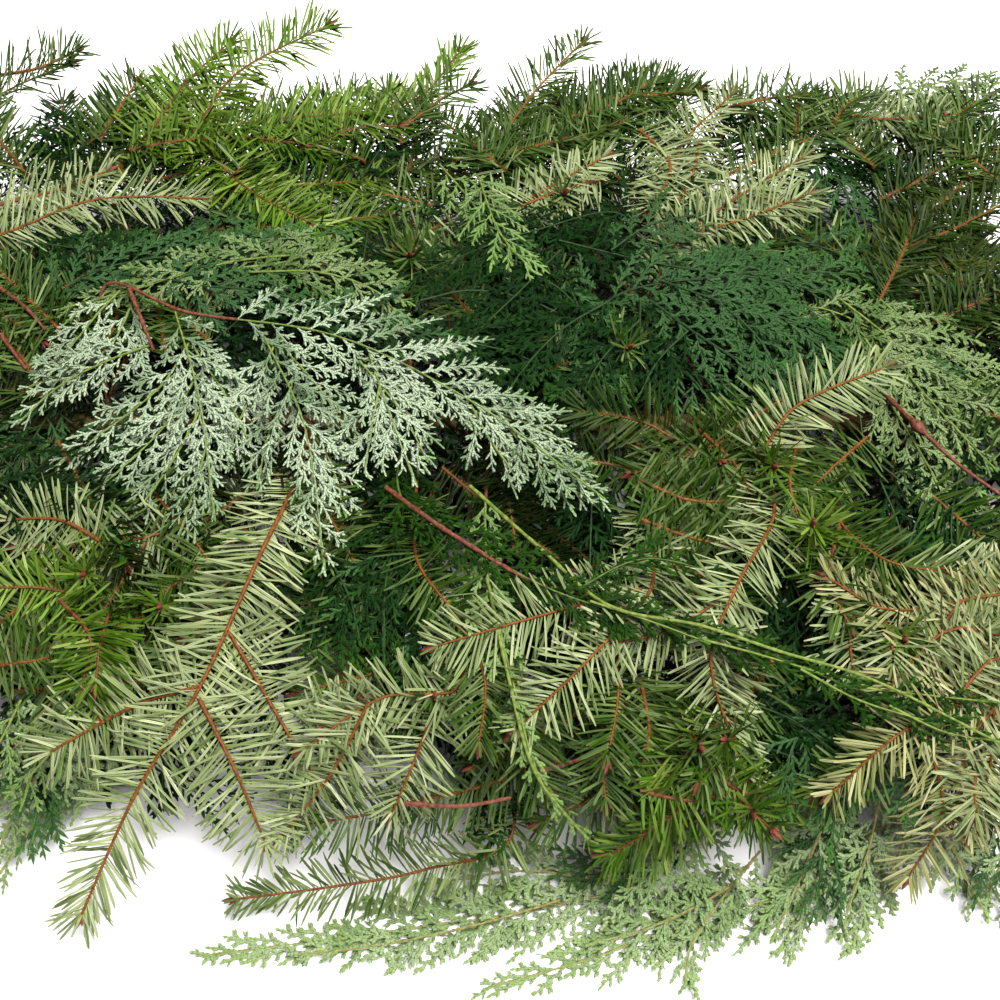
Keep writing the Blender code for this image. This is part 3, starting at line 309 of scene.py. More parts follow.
# Two greens, the young green, the bloom and its share, its least in patches and at the tips.
SCALE_COLOURS = {
    "cedar_dark": (((6, 36, 10), (48, 88, 42)), (104, 144, 82)),
    # A darker copy of the cedar greens: painted shade for scales deep inside the garland.
    "cedar_painted_shade": (((4, 20, 4), (20, 46, 16)), (32, 58, 20)),
    "cedar_mid": (((16, 48, 4), (78, 116, 40)), (150, 176, 98)),
    "cedar_blue": (((10, 50, 14), (58, 106, 48)), (116, 160, 82), (124, 166, 112), 0.26),
    "cedar_fresh": (((36, 66, 8), (116, 150, 66)), (180, 204, 112), (186, 206, 148), 0.5, 0.3),
    "cedar_silver": (
        ((36, 74, 24), (112, 150, 76)), (164, 196, 92), (204, 222, 190), 0.9, 0.36, 0.05,
    ),
    "cedar_lime": (((90, 128, 56), (160, 190, 104)), (200, 220, 130), (190, 208, 150), 0.4),
    # A paler copy of the blue cedar for fans low at the front: painted light.
    "cedar_low": (((108, 140, 76), (190, 210, 140)), (216, 226, 130), (204, 216, 176), 0.55),
}


def scale_finish(name, greens, young, bloom=None, share=0.0, least=0.6, tips=0.35):
    desk = Desk(name, 0.6, 0.06)
    along, across, tone, growth = desk.leaf()
    dark, light = (leaf_paint(*green) for green in greens)
    middle = desk.from_middle(across)
    step = desk.maths("FRACT", desk.maths("MULTIPLY", along, SCALES_ALONG))
    patch = desk.maths("MULTIPLY", desk.within(desk.noise(40), 0.35, 0.68), 0.35)
    colour = desk.mix(patch, desk.mix(tone, dark, light), dark)
    colour = desk.mix(desk.within(growth, 0.55, 1.0, 0.0, 0.75), colour, leaf_paint(*young))
    if bloom:
        waxy = desk.within(middle, 0.42, 0.24)
        for factor in (
            desk.within(step, 0.95, 0.7, 0.25, 1.0),
            desk.within(desk.noise(38), 0.32, 0.58, share * least, share),
            desk.within(growth, 1.1, 0.7, tips, 1.0),
        ):
            waxy = desk.maths("MULTIPLY", waxy, factor)
        colour = desk.mix(waxy, colour, paint(*bloom, lit=PALE_LIT))
    joint = desk.within(step, 0.82, 1.0, 0.0, 0.4)
    desk.bump(desk.maths("SUBTRACT", desk.within(middle, 0.5, 0.0), joint), 0.6, 0.0004)
    return desk.done(desk.mix(joint, colour, dark))


SCALES = {name: scale_finish(name, *colours) for name, colours in SCALE_COLOURS.items()}
print("scale finishes:", list(SCALES))

# %% [markdown]
# ## Bark and buds
#
# Fir twigs are orange-brown and finely pitted where needles have left. Cedar twigs are a pinker
# red-brown and fade into green ribs. The fir's buds are small, pointed and dark red.

# %% Bark, rib and bud finishes
# A dark colour, a light one, and the scale of the grain.
BARK_COLOURS = {
    "fir_bark": ((86, 42, 18), (174, 102, 48), 900),
    "red_bark": ((84, 42, 24), (156, 92, 52), 900),
    "cedar_bark": ((92, 46, 32), (166, 100, 76), 700),
    "cedar_rib": ((24, 52, 20), (56, 88, 44), 500),
    "lime_rib": ((96, 122, 36), (160, 180, 88), 500),
    "green_rib": ((62, 90, 30), (116, 144, 66), 500),
    "tan_rib": ((132, 112, 62), (196, 180, 116), 500),
    "fir_bud": ((104, 44, 38), (180, 96, 74), 1200),
}


def bark_finish(name, dark, light, grain):
    desk = Desk(name, 0.6, 0.2)
    dark, light = paint(*dark, lit=BARK_LIT), paint(*light, lit=BARK_LIT)
    _, _, tone, _ = desk.leaf()
    fine = desk.noise(grain, 4.0)
    streak = desk.noise(grain * 0.25, 2.0)
    colour = desk.mix(desk.within(fine, 0.3, 0.7), dark, light)
    colour = desk.mix(desk.within(streak, 0.45, 0.75, 0.0, 0.5), colour, dark)
    colour = desk.mix(desk.maths("MULTIPLY", tone, 0.25), colour, light)
    desk.bump(fine, 0.7, 0.0003)
    return desk.done(colour)


BARKS = {name: bark_finish(name, *colours) for name, colours in BARK_COLOURS.items()}
print("bark, rib and bud finishes:", list(BARKS))

# %% [markdown]
# ## Leaf shapes
#
# One needle is a flat blade folded a little along its middle, blunt at its end. One cedar cord
# is a flat strip that widens and narrows with each pair of scales. Each is shaped once, 1 long
# and 1 wide, from a grid, and then repeated at true size along the twigs. Foliage that lies
# deeper takes plainer shapes with fewer faces.

# %% Leaf shapes
class Shape:
    """A leaf's points (across, along, up), its faces' points and how many each face has. The
    faces are sorted, because Blender makes a ball's faces in another order each time."""

    def __init__(self, bm):
        bm.verts.index_update()
        self.points = np.array([corner.co[:] for corner in bm.verts])
        faces = sorted([corner.index for corner in face.verts] for face in bm.faces)
        self.loops = np.concatenate(faces)
        self.totals = np.array([len(face) for face in faces])
        bm.free()


def strip(widths, columns=1, blunt=1.0):
    """A strip along +Y from 0 to 1 with the given widths, its rows closer to a blunt tip."""
    bm = bmesh.new()
    rows = len(widths) - 1
    bmesh.ops.create_grid(bm, x_segments=columns, y_segments=rows, size=0.5)
    for corner in bm.verts:
        row = round((corner.co.y + 0.5) * rows)
        corner.co.y = 1 - (0.5 - corner.co.y) ** blunt
        corner.co.z = -abs(corner.co.x) * 0.5 if columns > 1 else 0.0
        corner.co.x *= widths[row]
    return Shape(bm)


def bud():
    """A ball drawn out to a point, along +Y from 0 to 1."""
    bm = bmesh.new()
    bmesh.ops.create_uvsphere(bm, u_segments=6, v_segments=5, radius=0.5)
    for corner in bm.verts:
        height = corner.co.z + 0.5
        girth = 1.15 - 0.8 * height
        corner.co = (corner.co.x * girth, height, corner.co.y * girth)
    return Shape(bm)


NEEDLE_BLUNT = 1.6
needle_shape = strip((0.7, 1.0, 1.0, 0.45), 2, NEEDLE_BLUNT)
plain_needle_shape = strip((0.75, 1.0, 0.95, 0.45), 1, NEEDLE_BLUNT)
cord_shape = strip((0.55, 1.0, 0.6, 0.95, 0.15))
plain_cord_shape = strip((0.6, 1.0, 0.2))
bud_shape = bud()
print("faces: needle", len(needle_shape.totals), "cord", len(cord_shape.totals))

# %% [markdown]
# ## A piece of foliage
#
# A piece gathers leaves, twigs and buds, and makes one mesh of them all. Twigs are tapered
# curves, turned into mesh. Leaves are copies of one shape, each with its own foot, direction,
# facing side, length and width. Nothing sinks into the floor: what would is pressed flat on it.

# %% Gather leaves and twigs into a piece
LOWEST = 0.25
NEAR_FLOOR = 5.0
NO_END = 1000.0
TRIANGLES = {}


def unit(vectors):
    return vectors / np.maximum(np.linalg.norm(vectors, axis=-1, keepdims=True), 1e-9)


class Foliage:
    """Leaves and twigs in millimetres, made one mesh at the end. None is past `end` in X."""

    def __init__(self, end=NO_END):
        self.end, self.count = end, 0
        self.parts, self.twigs = [], []

    def add(self, points, loops, totals, slot, leaf):
        self.parts.append((points, loops + self.count, totals, np.full(len(totals), slot), leaf))
        self.count += len(points)

    def leaves(self, shape, feet, ways, faces_up, lengths, widths, slot, tones, lasts, bows=0.0):
        """Repeats a shape: one leaf at each foot, along its way, with its flat side up."""
        bows = np.broadcast_to(bows, len(feet))
        inside = np.abs(feet[:, 0]) < self.end
        feet, ways, faces_up, lengths, widths, tones, lasts, bows = (
            values[inside] for values in (feet, ways, faces_up, lengths, widths, tones, lasts, bows)
        )
        across = np.cross(ways, faces_up)
        x, y, z = (shape.points[:, k] for k in range(3))
        rise = z * widths[:, None] + y * y * (bows * lengths)[:, None]
        points = (
            feet[:, None]
            + across[:, None] * (x * widths[:, None])[..., None]
            + ways[:, None] * (y * lengths[:, None])[..., None]
            + faces_up[:, None] * rise[..., None]
        )
        many, size = len(feet), len(x)
        loops = (shape.loops[None] + (np.arange(many) * size)[:, None]).ravel()
        leaf = np.empty((many, size, 4))
        leaf[..., 0] = y
        leaf[..., 1] = x / max(np.abs(x).max(), 1e-6) / 2 + 0.5
        leaf[..., 2] = tones[:, None]
        leaf[..., 3] = lasts[:, None]
        totals = np.tile(shape.totals, many)
        self.add(points.reshape(-1, 3), loops, totals, slot, leaf.reshape(-1, 4))

    def twig(self, line, radii, slot, tone):
        inside = np.abs(line[:, 0]) < self.end
        if inside.sum() > 1:
            self.twigs.append((line[inside], radii[inside], slot, tone))

    def add_twigs(self, fine):
        """Turns the gathered twigs into mesh, one slot at a time, through a round curve."""
        for slot in sorted({twig[2] for twig in self.twigs}):
            chosen = [twig for twig in self.twigs if twig[2] == slot]
            curve = bpy.data.curves.new("twigs", "CURVE")
            curve.dimensions = "3D"
            curve.bevel_depth = 1.0
            curve.bevel_resolution = fine
            curve.use_fill_caps = True
            for line, radii, _, _ in chosen:
                spline = curve.splines.new("POLY")
                spline.points.add(len(line) - 1)
                spline.points.foreach_set("co", np.hstack([line, np.ones((len(line), 1))]).ravel())
                spline.points.foreach_set("radius", np.asarray(radii, float))
            holder = bpy.data.objects.new("twigs", curve)
            mesh = bpy.data.meshes.new_from_object(holder)
            points = np.empty(len(mesh.vertices) * 3)
            mesh.vertices.foreach_get("co", points)
            loops = np.empty(len(mesh.loops), int)
            mesh.loops.foreach_get("vertex_index", loops)
            totals = np.empty(len(mesh.polygons), int)
            mesh.polygons.foreach_get("loop_total", totals)
            leaf = np.tile([0.5, 0.5, chosen[0][3], 0.0], (len(mesh.vertices), 1))
            self.add(points.reshape(-1, 3), loops, totals, slot, leaf)
            bpy.data.objects.remove(holder)
            bpy.data.curves.remove(curve)
            bpy.data.meshes.remove(mesh)

    def piece(self, name, finishes, fine=1):
        self.add_twigs(fine)
        points, loops, totals, slots, leaf = (np.concatenate(part) for part in zip(*self.parts))
        low = points[:, 2] < NEAR_FLOOR
        room = NEAR_FLOOR - LOWEST
        points[low, 2] = LOWEST + room * np.exp((points[low, 2] - NEAR_FLOOR) / room)
        mesh = bpy.data.meshes.new(name)
        mesh.vertices.add(len(points))
        mesh.vertices.foreach_set("co", (points * MM).astype(np.float32).ravel())
        mesh.loops.add(len(loops))
        mesh.loops.foreach_set("vertex_index", loops.astype(np.int32))
        mesh.polygons.add(len(totals))
        starts = np.concatenate([[0], np.cumsum(totals)[:-1]]).astype(np.int32)
        mesh.polygons.foreach_set("loop_start", starts)
        mesh.polygons.foreach_set("material_index", slots.astype(np.int32))
        mesh.polygons.foreach_set("use_smooth", np.ones(len(totals), bool))
        mesh.update(calc_edges=True)
        values = mesh.attributes.new("leaf", "FLOAT_COLOR", "POINT")
        values.data.foreach_set("color", leaf.astype(np.float32).ravel())
        for finish in finishes:
            mesh.materials.append(finish)
        made = placed(name, mesh)
        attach(made, "root")
        TRIANGLES[name] = int((totals - 2).sum())
        return made


print("foliage stays", LOWEST, "mm above the floor")

# %% [markdown]
# ## Lines along a route
#
# A twig follows a smooth curve through a few points. Along it, every spray turns its flat side
# outwards from the garland, as shoots do when they are bound on in layers. The sprays on top
# also face the front, where the garland is looked at.

# %% Smooth lines and their frames
STEP = 1.5
ROPE_HALF, ROPE_Y, ROPE_Z = 255.0, 5.0, 60.0
TO_CAMERA = np.array([0.0, -0.56, 0.83])
SURFACE_BEND = 165.0
END_START, END_BEND = 235.0, 90.0
LYING_BELOW, RISING_OVER = 4.0, 40.0


def smooth(points, steps=14):
    """A smooth curve through the points, with tangents from each point's neighbours."""
    points = np.array(points, float)
    before = np.vstack([2 * points[0] - points[1], points[:-1]])
    after = np.vstack([points[1:], 2 * points[-1] - points[-2]])
    spans = np.linalg.norm(after - points, axis=1) + np.linalg.norm(points - before, axis=1)
    slopes = (after - before) / spans[:, None]
    t = (np.arange(steps) / steps)[:, None]
    curve = []
    for a, b, slope_a, slope_b in zip(points[:-1], points[1:], slopes[:-1], slopes[1:]):
        span = np.linalg.norm(b - a)
        curve.append(
            (1 + 2 * t) * (1 - t) ** 2 * a
            + t * (1 - t) ** 2 * span * slope_a
            + t * t * (3 - 2 * t) * b
            + t * t * (t - 1) * span * slope_b
        )
    return np.vstack(curve + [points[-1:]])


def lengths(line):
    return np.concatenate([[0], np.cumsum(np.linalg.norm(np.diff(line, axis=0), axis=1))])


def places(line, where):
    along = lengths(line)
    return np.stack([np.interp(where, along, line[:, k]) for k in range(3)], axis=-1)


def evenly(line, step=STEP):
    total = lengths(line)[-1]
    return places(line, np.linspace(0, total, max(3, int(total / step) + 1)))


def outwards(points, facing=0.0):
    """The way that the garland's surface faces at each point, turned by a share to the camera."""
    x, y, z = points.T
    steep = np.clip((z - LYING_BELOW) / RISING_OVER, 0, 1)
    past_end = np.sign(x) * np.maximum(0, np.abs(x) - END_START) / END_BEND
    tilt = (y - ROPE_Y) / SURFACE_BEND
    surface = unit(np.stack([past_end * steep, tilt * steep, np.ones_like(x)], axis=-1))
    return unit(surface * (1 - facing) + TO_CAMERA * facing * steep[:, None])


def frames(line, where, facing=0.0):
    """Place, way, side and up at each length along a line."""
    here, ahead = places(line, where - STEP), places(line, where + STEP)
    way = unit(ahead - here)
    up = outwards((here + ahead) / 2, facing)
    end_on = np.abs((way * up).sum(-1, keepdims=True)) > 0.9
    up = np.where(end_on, np.array([1.0, 0, 0]), up)
    side = unit(np.cross(way, up))
    return places(line, where), way, side, np.cross(side, way)


def hands(count):
    """1 and -1 in turn: the two sides of a twig."""
    return np.where(np.arange(count) % 2, 1.0, -1.0)


def turned(vectors, axis, angle):
    """Turns each vector round its own axis, to which it is square."""
    return vectors * np.cos(angle)[:, None] + np.cross(axis, vectors) * np.sin(angle)[:, None]


def twisted(ways, up, rng, twist):
    """The flat side of each leaf: up, as far as its way allows, with a random twist."""
    flat = unit(up - ways * (ways * up).sum(-1, keepdims=True))
    return turned(flat, ways, rng.normal(0, twist, len(ways)))


arc = smooth([(0, 0, 0), (40, 20, 0), (80, 0, 0)])
print("a curve over 80 mm with a rise of 20, mm long:", round(lengths(arc)[-1], 1))

# %% [markdown]
# ## Growing fir
#
# Fir needles sit all round a twig but comb out to its two sides. Seen from above they also rise
# over the twig, and seen from below they lie flat and leave it bare. Each spray's habit says how
# long and how close its needles are, how high they rise, and how much they show their undersides.

# %% Grow one fir shoot
FIR_HABIT = {
    "length": 17.0,
    "width": 1.02,
    "pitch": 0.7,
    "lift": 22.0,
    "spread": 16.0,
    "lean": (74, 62, 36),
    "under": 0.15,
    "bare": 0.0,
    "twig": 0.95,
    "round": False,
    "facing": 0.0,
    "fine": True,
}
NEEDLE_SIZES = (0, 0.12, 0.75, 1), (0.8, 1, 0.98, 0.62)
BUD_LENGTHS, BUD_WIDTHS = np.array([6.5, 4.2, 4.2]), np.array([2.9, 2.1, 2.1])
BUD_NEEDLES = 11


def grow_fir(foliage, rng, route, habit, buds=True):
    line = evenly(smooth(route))
    total = lengths(line)[-1]
    first = habit["bare"]
    count = max(4, int((total - first) / habit["pitch"]))
    where = np.linspace(first, total - 2.0, count) + rng.uniform(-0.3, 0.3, count)
    u = (where - first) / (total - first)
    place, way, side, up = frames(line, where, habit["facing"])
    lift = np.radians(rng.normal(habit["lift"], habit["spread"], count))
    if habit["round"]:
        lift = rng.uniform(-math.pi, math.pi, count)
    lean = np.radians(np.interp(u, (0, 0.7, 1), habit["lean"])) + rng.normal(0, 0.17, count)
    out = side * (hands(count) * np.cos(lift))[:, None] + up * np.sin(lift)[:, None]
    ways = unit(out * np.sin(lean)[:, None] + way * np.cos(lean)[:, None])
    size = habit["length"] * np.interp(u, *NEEDLE_SIZES)
    size = size * np.clip(rng.normal(1, 0.12, count), 0.5, 1.25)
    tones = np.clip(rng.normal(0.5, 0.27, count), 0, 1)
    under = np.clip(rng.normal(habit["under"], 0.25, count), 0, 1)
    foliage.leaves(
        needle_shape if habit["fine"] else plain_needle_shape, place + out * 0.5, ways,
        twisted(ways, up, rng, 0.45), size, habit["width"] * rng.normal(1, 0.1, count), 0,
        tones, under, rng.normal(-0.05, 0.1, count),
    )
    radii = habit["twig"] * np.interp(np.linspace(0, 1, len(line)), (0, 1), (1, 0.5))
    skip = 2 if habit["fine"] else 5
    foliage.twig(line[::skip], radii[::skip], 1, rng.random())
    if buds:
        grow_bud(foliage, rng, line, habit)


def grow_bud(foliage, rng, line, habit):
    """A pointed bud with two small ones beside it, and a ring of short needles round them."""
    tip = lengths(line)[-1:]
    place, way, side, up = (v[0] for v in frames(line, tip, habit["facing"]))
    ways = unit(np.array([way, way + side * 0.55, way - side * 0.55]))
    flats = twisted(ways, np.tile(up, (3, 1)), rng, 0.0)
    foliage.leaves(
        bud_shape, np.tile(place - way, (3, 1)), ways, flats, BUD_LENGTHS, BUD_WIDTHS, 2,
        rng.random(3), np.zeros(3),
    )
    turns = np.linspace(0, 2 * math.pi, BUD_NEEDLES, endpoint=False)
    turns = turns + rng.uniform(-0.2, 0.2, BUD_NEEDLES)
    out = side * np.cos(turns)[:, None] + up * np.sin(turns)[:, None]
    lean = rng.uniform(0.55, 1.2, BUD_NEEDLES)[:, None]
    ways = unit(way * np.cos(lean) + out * np.sin(lean))
    foliage.leaves(
        plain_needle_shape, place - way * 1.5 + out * 0.5, ways, twisted(ways, out, rng, 0.2),
        habit["length"] * rng.uniform(0.45, 0.7, BUD_NEEDLES),
        np.full(BUD_NEEDLES, habit["width"]), 0, rng.random(BUD_NEEDLES),
        np.clip(rng.normal(habit["under"], 0.15, BUD_NEEDLES), 0, 1),
    )


print("needles on 100 mm of fir:", round(100 / FIR_HABIT["pitch"]))

# %% [markdown]
# ## Growing cedar
#
# A cedar fan is a rib with side ribs in one plane, first on one side and then on the other, and
# each side rib carries short cords the same way. The side ribs are longest low on the fan. They
# curve forward and droop a little, so that a fan is never a flat sheet.

# %% Grow one cedar fan
CEDAR_HABIT = {
    "reach": 32.0,
    "pitch": 4.6,
    "cord": 6.5,
    "cord_pitch": 2.2,
    "spread": 33.0,
    "width": 1.3,
    "angle": (48, 26),
    "droop": 0.16,
    "fine": True,
    "lobes": False,
    "bare": 3.0,
    "twig": 0.95,
    "bark": 0,
    "facing": 0.0,
}
LONG_CORD = 4.0
RIB_CORD, RIB_CORD_PITCH = 4.8, 4.0
SIDE_RIB_CORD, SIDE_RIB_PITCH, SIDE_RIB_AHEAD = 4.9, 4.2, 4.6
SHORTEST_FORKED = 5.0
BEND_STEPS = 8
LOBED_CORD, LOBE_SHARE = 4.5, 0.42
LOBES = ((0.3, 0.6), (0.5, -0.6))


def fan_reach(u):
    """How long a side rib is, as a share of the longest, at a share of the fan's length."""
    return np.minimum(1.0, 0.5 + 2.4 * u) * np.maximum(0.0, 1 - u) ** 0.62 + 0.14


def grow_cedar(foliage, rng, route, habit):
    line = evenly(smooth(route))
    total = lengths(line)[-1]
    count = max(3, int((total - habit["bare"]) / habit["pitch"]))
    where = np.linspace(habit["bare"], total - 1.0, count) + rng.uniform(-0.5, 0.5, count)
    u = np.clip((where - habit["bare"]) / (total - habit["bare"]), 0, 1)
    place, way, side, up = frames(line, where, habit["facing"])
    hand = hands(count)
    reach = habit["reach"] * fan_reach(u) * np.clip(rng.normal(1, 0.18, count), 0.5, 1.4)
    angle = np.radians(np.interp(u, (0, 1), habit["angle"])) + rng.normal(0, 0.1, count)
    tilt = rng.normal(0.0, 0.16, count)
    bends = rng.uniform(0.15, 0.6, count)
    steps = np.linspace(0, 1, BEND_STEPS + 1)
    cords = []
    for n in range(count):
        bend = (angle[n] * (1 - bends[n] * steps))[:, None]
        out = side[n] * hand[n] + up[n] * tilt[n]
        droop = up[n] * habit["droop"] * steps[:, None]
        heading = unit(out * np.sin(bend) + way[n] * np.cos(bend) - droop)
        rib = np.vstack([[0, 0, 0], np.cumsum(heading[:-1], axis=0)]) * reach[n] / BEND_STEPS
        cords += cords_along(rng, place[n] + rib, reach[n], up[n], u[n], habit)
    bark = min(habit["bare"] + habit["bark"], 0.9 * total)
    last = np.arange(bark, total, RIB_CORD_PITCH)
    rib_place, rib_way, _, rib_up = frames(line, last, habit["facing"])
    cords.append((rib_place, rib_way, rib_up, np.full(len(last), RIB_CORD), last / total))
    feet, ways, flats, sizes, growth = (np.concatenate(part) for part in zip(*cords))
    flats = twisted(ways, flats, rng, 0.45)
    widths = habit["width"] * np.clip(rng.normal(1, 0.1, len(ways)), 0.7, 1.3)
    tones = np.clip(rng.normal(0.5, 0.22, len(ways)), 0, 1)
    bows = rng.normal(-0.04, 0.05, len(ways))
    long = (sizes > LONG_CORD) & habit["fine"]
    for shape, some in ((cord_shape, long), (plain_cord_shape, ~long)):
        foliage.leaves(
            shape, feet[some], ways[some], flats[some], sizes[some], widths[some], 0,
            tones[some], growth[some], bows[some],
        )
    cut = max(2, int(len(line) * bark / total))
    radii = habit["twig"] * np.interp(np.linspace(0, 1, len(line)), (0, 1), (1, 0.4))
    skip = 2 if habit["fine"] else 5
    if habit["bark"]:
        foliage.twig(line[: cut + 1], radii[: cut + 1], 1, rng.random())
    else:
        cut = 1
    foliage.twig(line[cut - 1 :: skip], radii[cut - 1 :: skip] * 0.6, 2, rng.random())


def cords_along(rng, branch, reach, up, u, habit):
    """Cords end to end along one side rib, and shorter ones to both its sides, as five arrays:
    their feet, ways, flat sides, lengths and how young they are."""
    along = np.arange(0, max(1.0, reach - 1.5), SIDE_RIB_PITCH)
    start, ahead = places(branch, along), places(branch, along + SIDE_RIB_AHEAD)
    young = np.clip(0.45 * u + 0.6 * along / max(reach, 12), 0, 1)
    flats, sizes = np.tile(up, (len(along), 1)), np.full(len(along), SIDE_RIB_CORD)
    cords = [(start, unit(ahead - start), flats, sizes, young)]
    if reach < SHORTEST_FORKED:
        return cords
    v = np.arange(2.2, reach - 1.2, habit["cord_pitch"])
    share = v / reach
    size = habit["cord"] * (0.35 + 0.65 * np.sin(np.pi * np.clip(share * 0.9 + 0.18, 0, 1)))
    size = size * rng.normal(1, 0.12, len(v)) * np.clip(reach / 20, 0.6, 1)
    start = places(branch, v)
    heading = unit(places(branch, v + 1.5) - places(branch, v - 1.5))
    across = np.cross(heading, up)
    hand = hands(len(v))[:, None]
    spread = np.radians(rng.normal(habit["spread"], 5, len(v)))[:, None]
    droop = up * rng.normal(0.05, 0.1, (len(v), 1))
    out = unit(across * hand * np.sin(spread) + heading * np.cos(spread) - droop)
    young = 0.4 * u + 0.55 * share
    flats = np.tile(up, (len(v), 1))
    cords.append((start, out, flats, size, np.clip(young + 0.1, 0, 1)))
    wide = size > LOBED_CORD
    for where, turn in LOBES if habit["lobes"] else ():
        foot = start + out * (size * where)[:, None]
        fork = unit(out + np.cross(up, out) * hand * turn)
        lobe = (foot, fork, flats, size * LOBE_SHARE, np.clip(young + 0.15, 0, 1))
        cords.append(tuple(values[wide] for values in lobe))
    return cords


print("side ribs on 100 mm of cedar:", round(100 / CEDAR_HABIT["pitch"]))

# %% [markdown]
# ## The sprays
#
# These are the sprays of the CAD model. Each row has a spray's node, its kind of foliage and its
# routes in millimetres, the main twig first and then its side shoots. A route is the X, Y and Z
# of its places in turn, and ends at a slash or at the end of its line. Where seven numbers stand
# alone they are three places, X and Y each, and one height: the middle one lies 4 mm higher.

# %% The sprays' routes
MIDDLE_RISE = 4.0


def read_routes(text):
    """The routes of each row of a table, by the name that the row starts with."""
    rows = {}
    for line in text.replace("/", "\n").splitlines():
        if ":" in line:
            name, line = line.split(":")
            rows[name] = []
        numbers = [float(number) for number in line.split()]
        if len(numbers) == 7:
            z = numbers[6]
            for at, height in ((2, z), (5, z + MIDDLE_RISE)):
                numbers.insert(at, height)
        if numbers:
            rows[name].append(list(zip(numbers[::3], numbers[1::3], numbers[2::3])))
    return rows


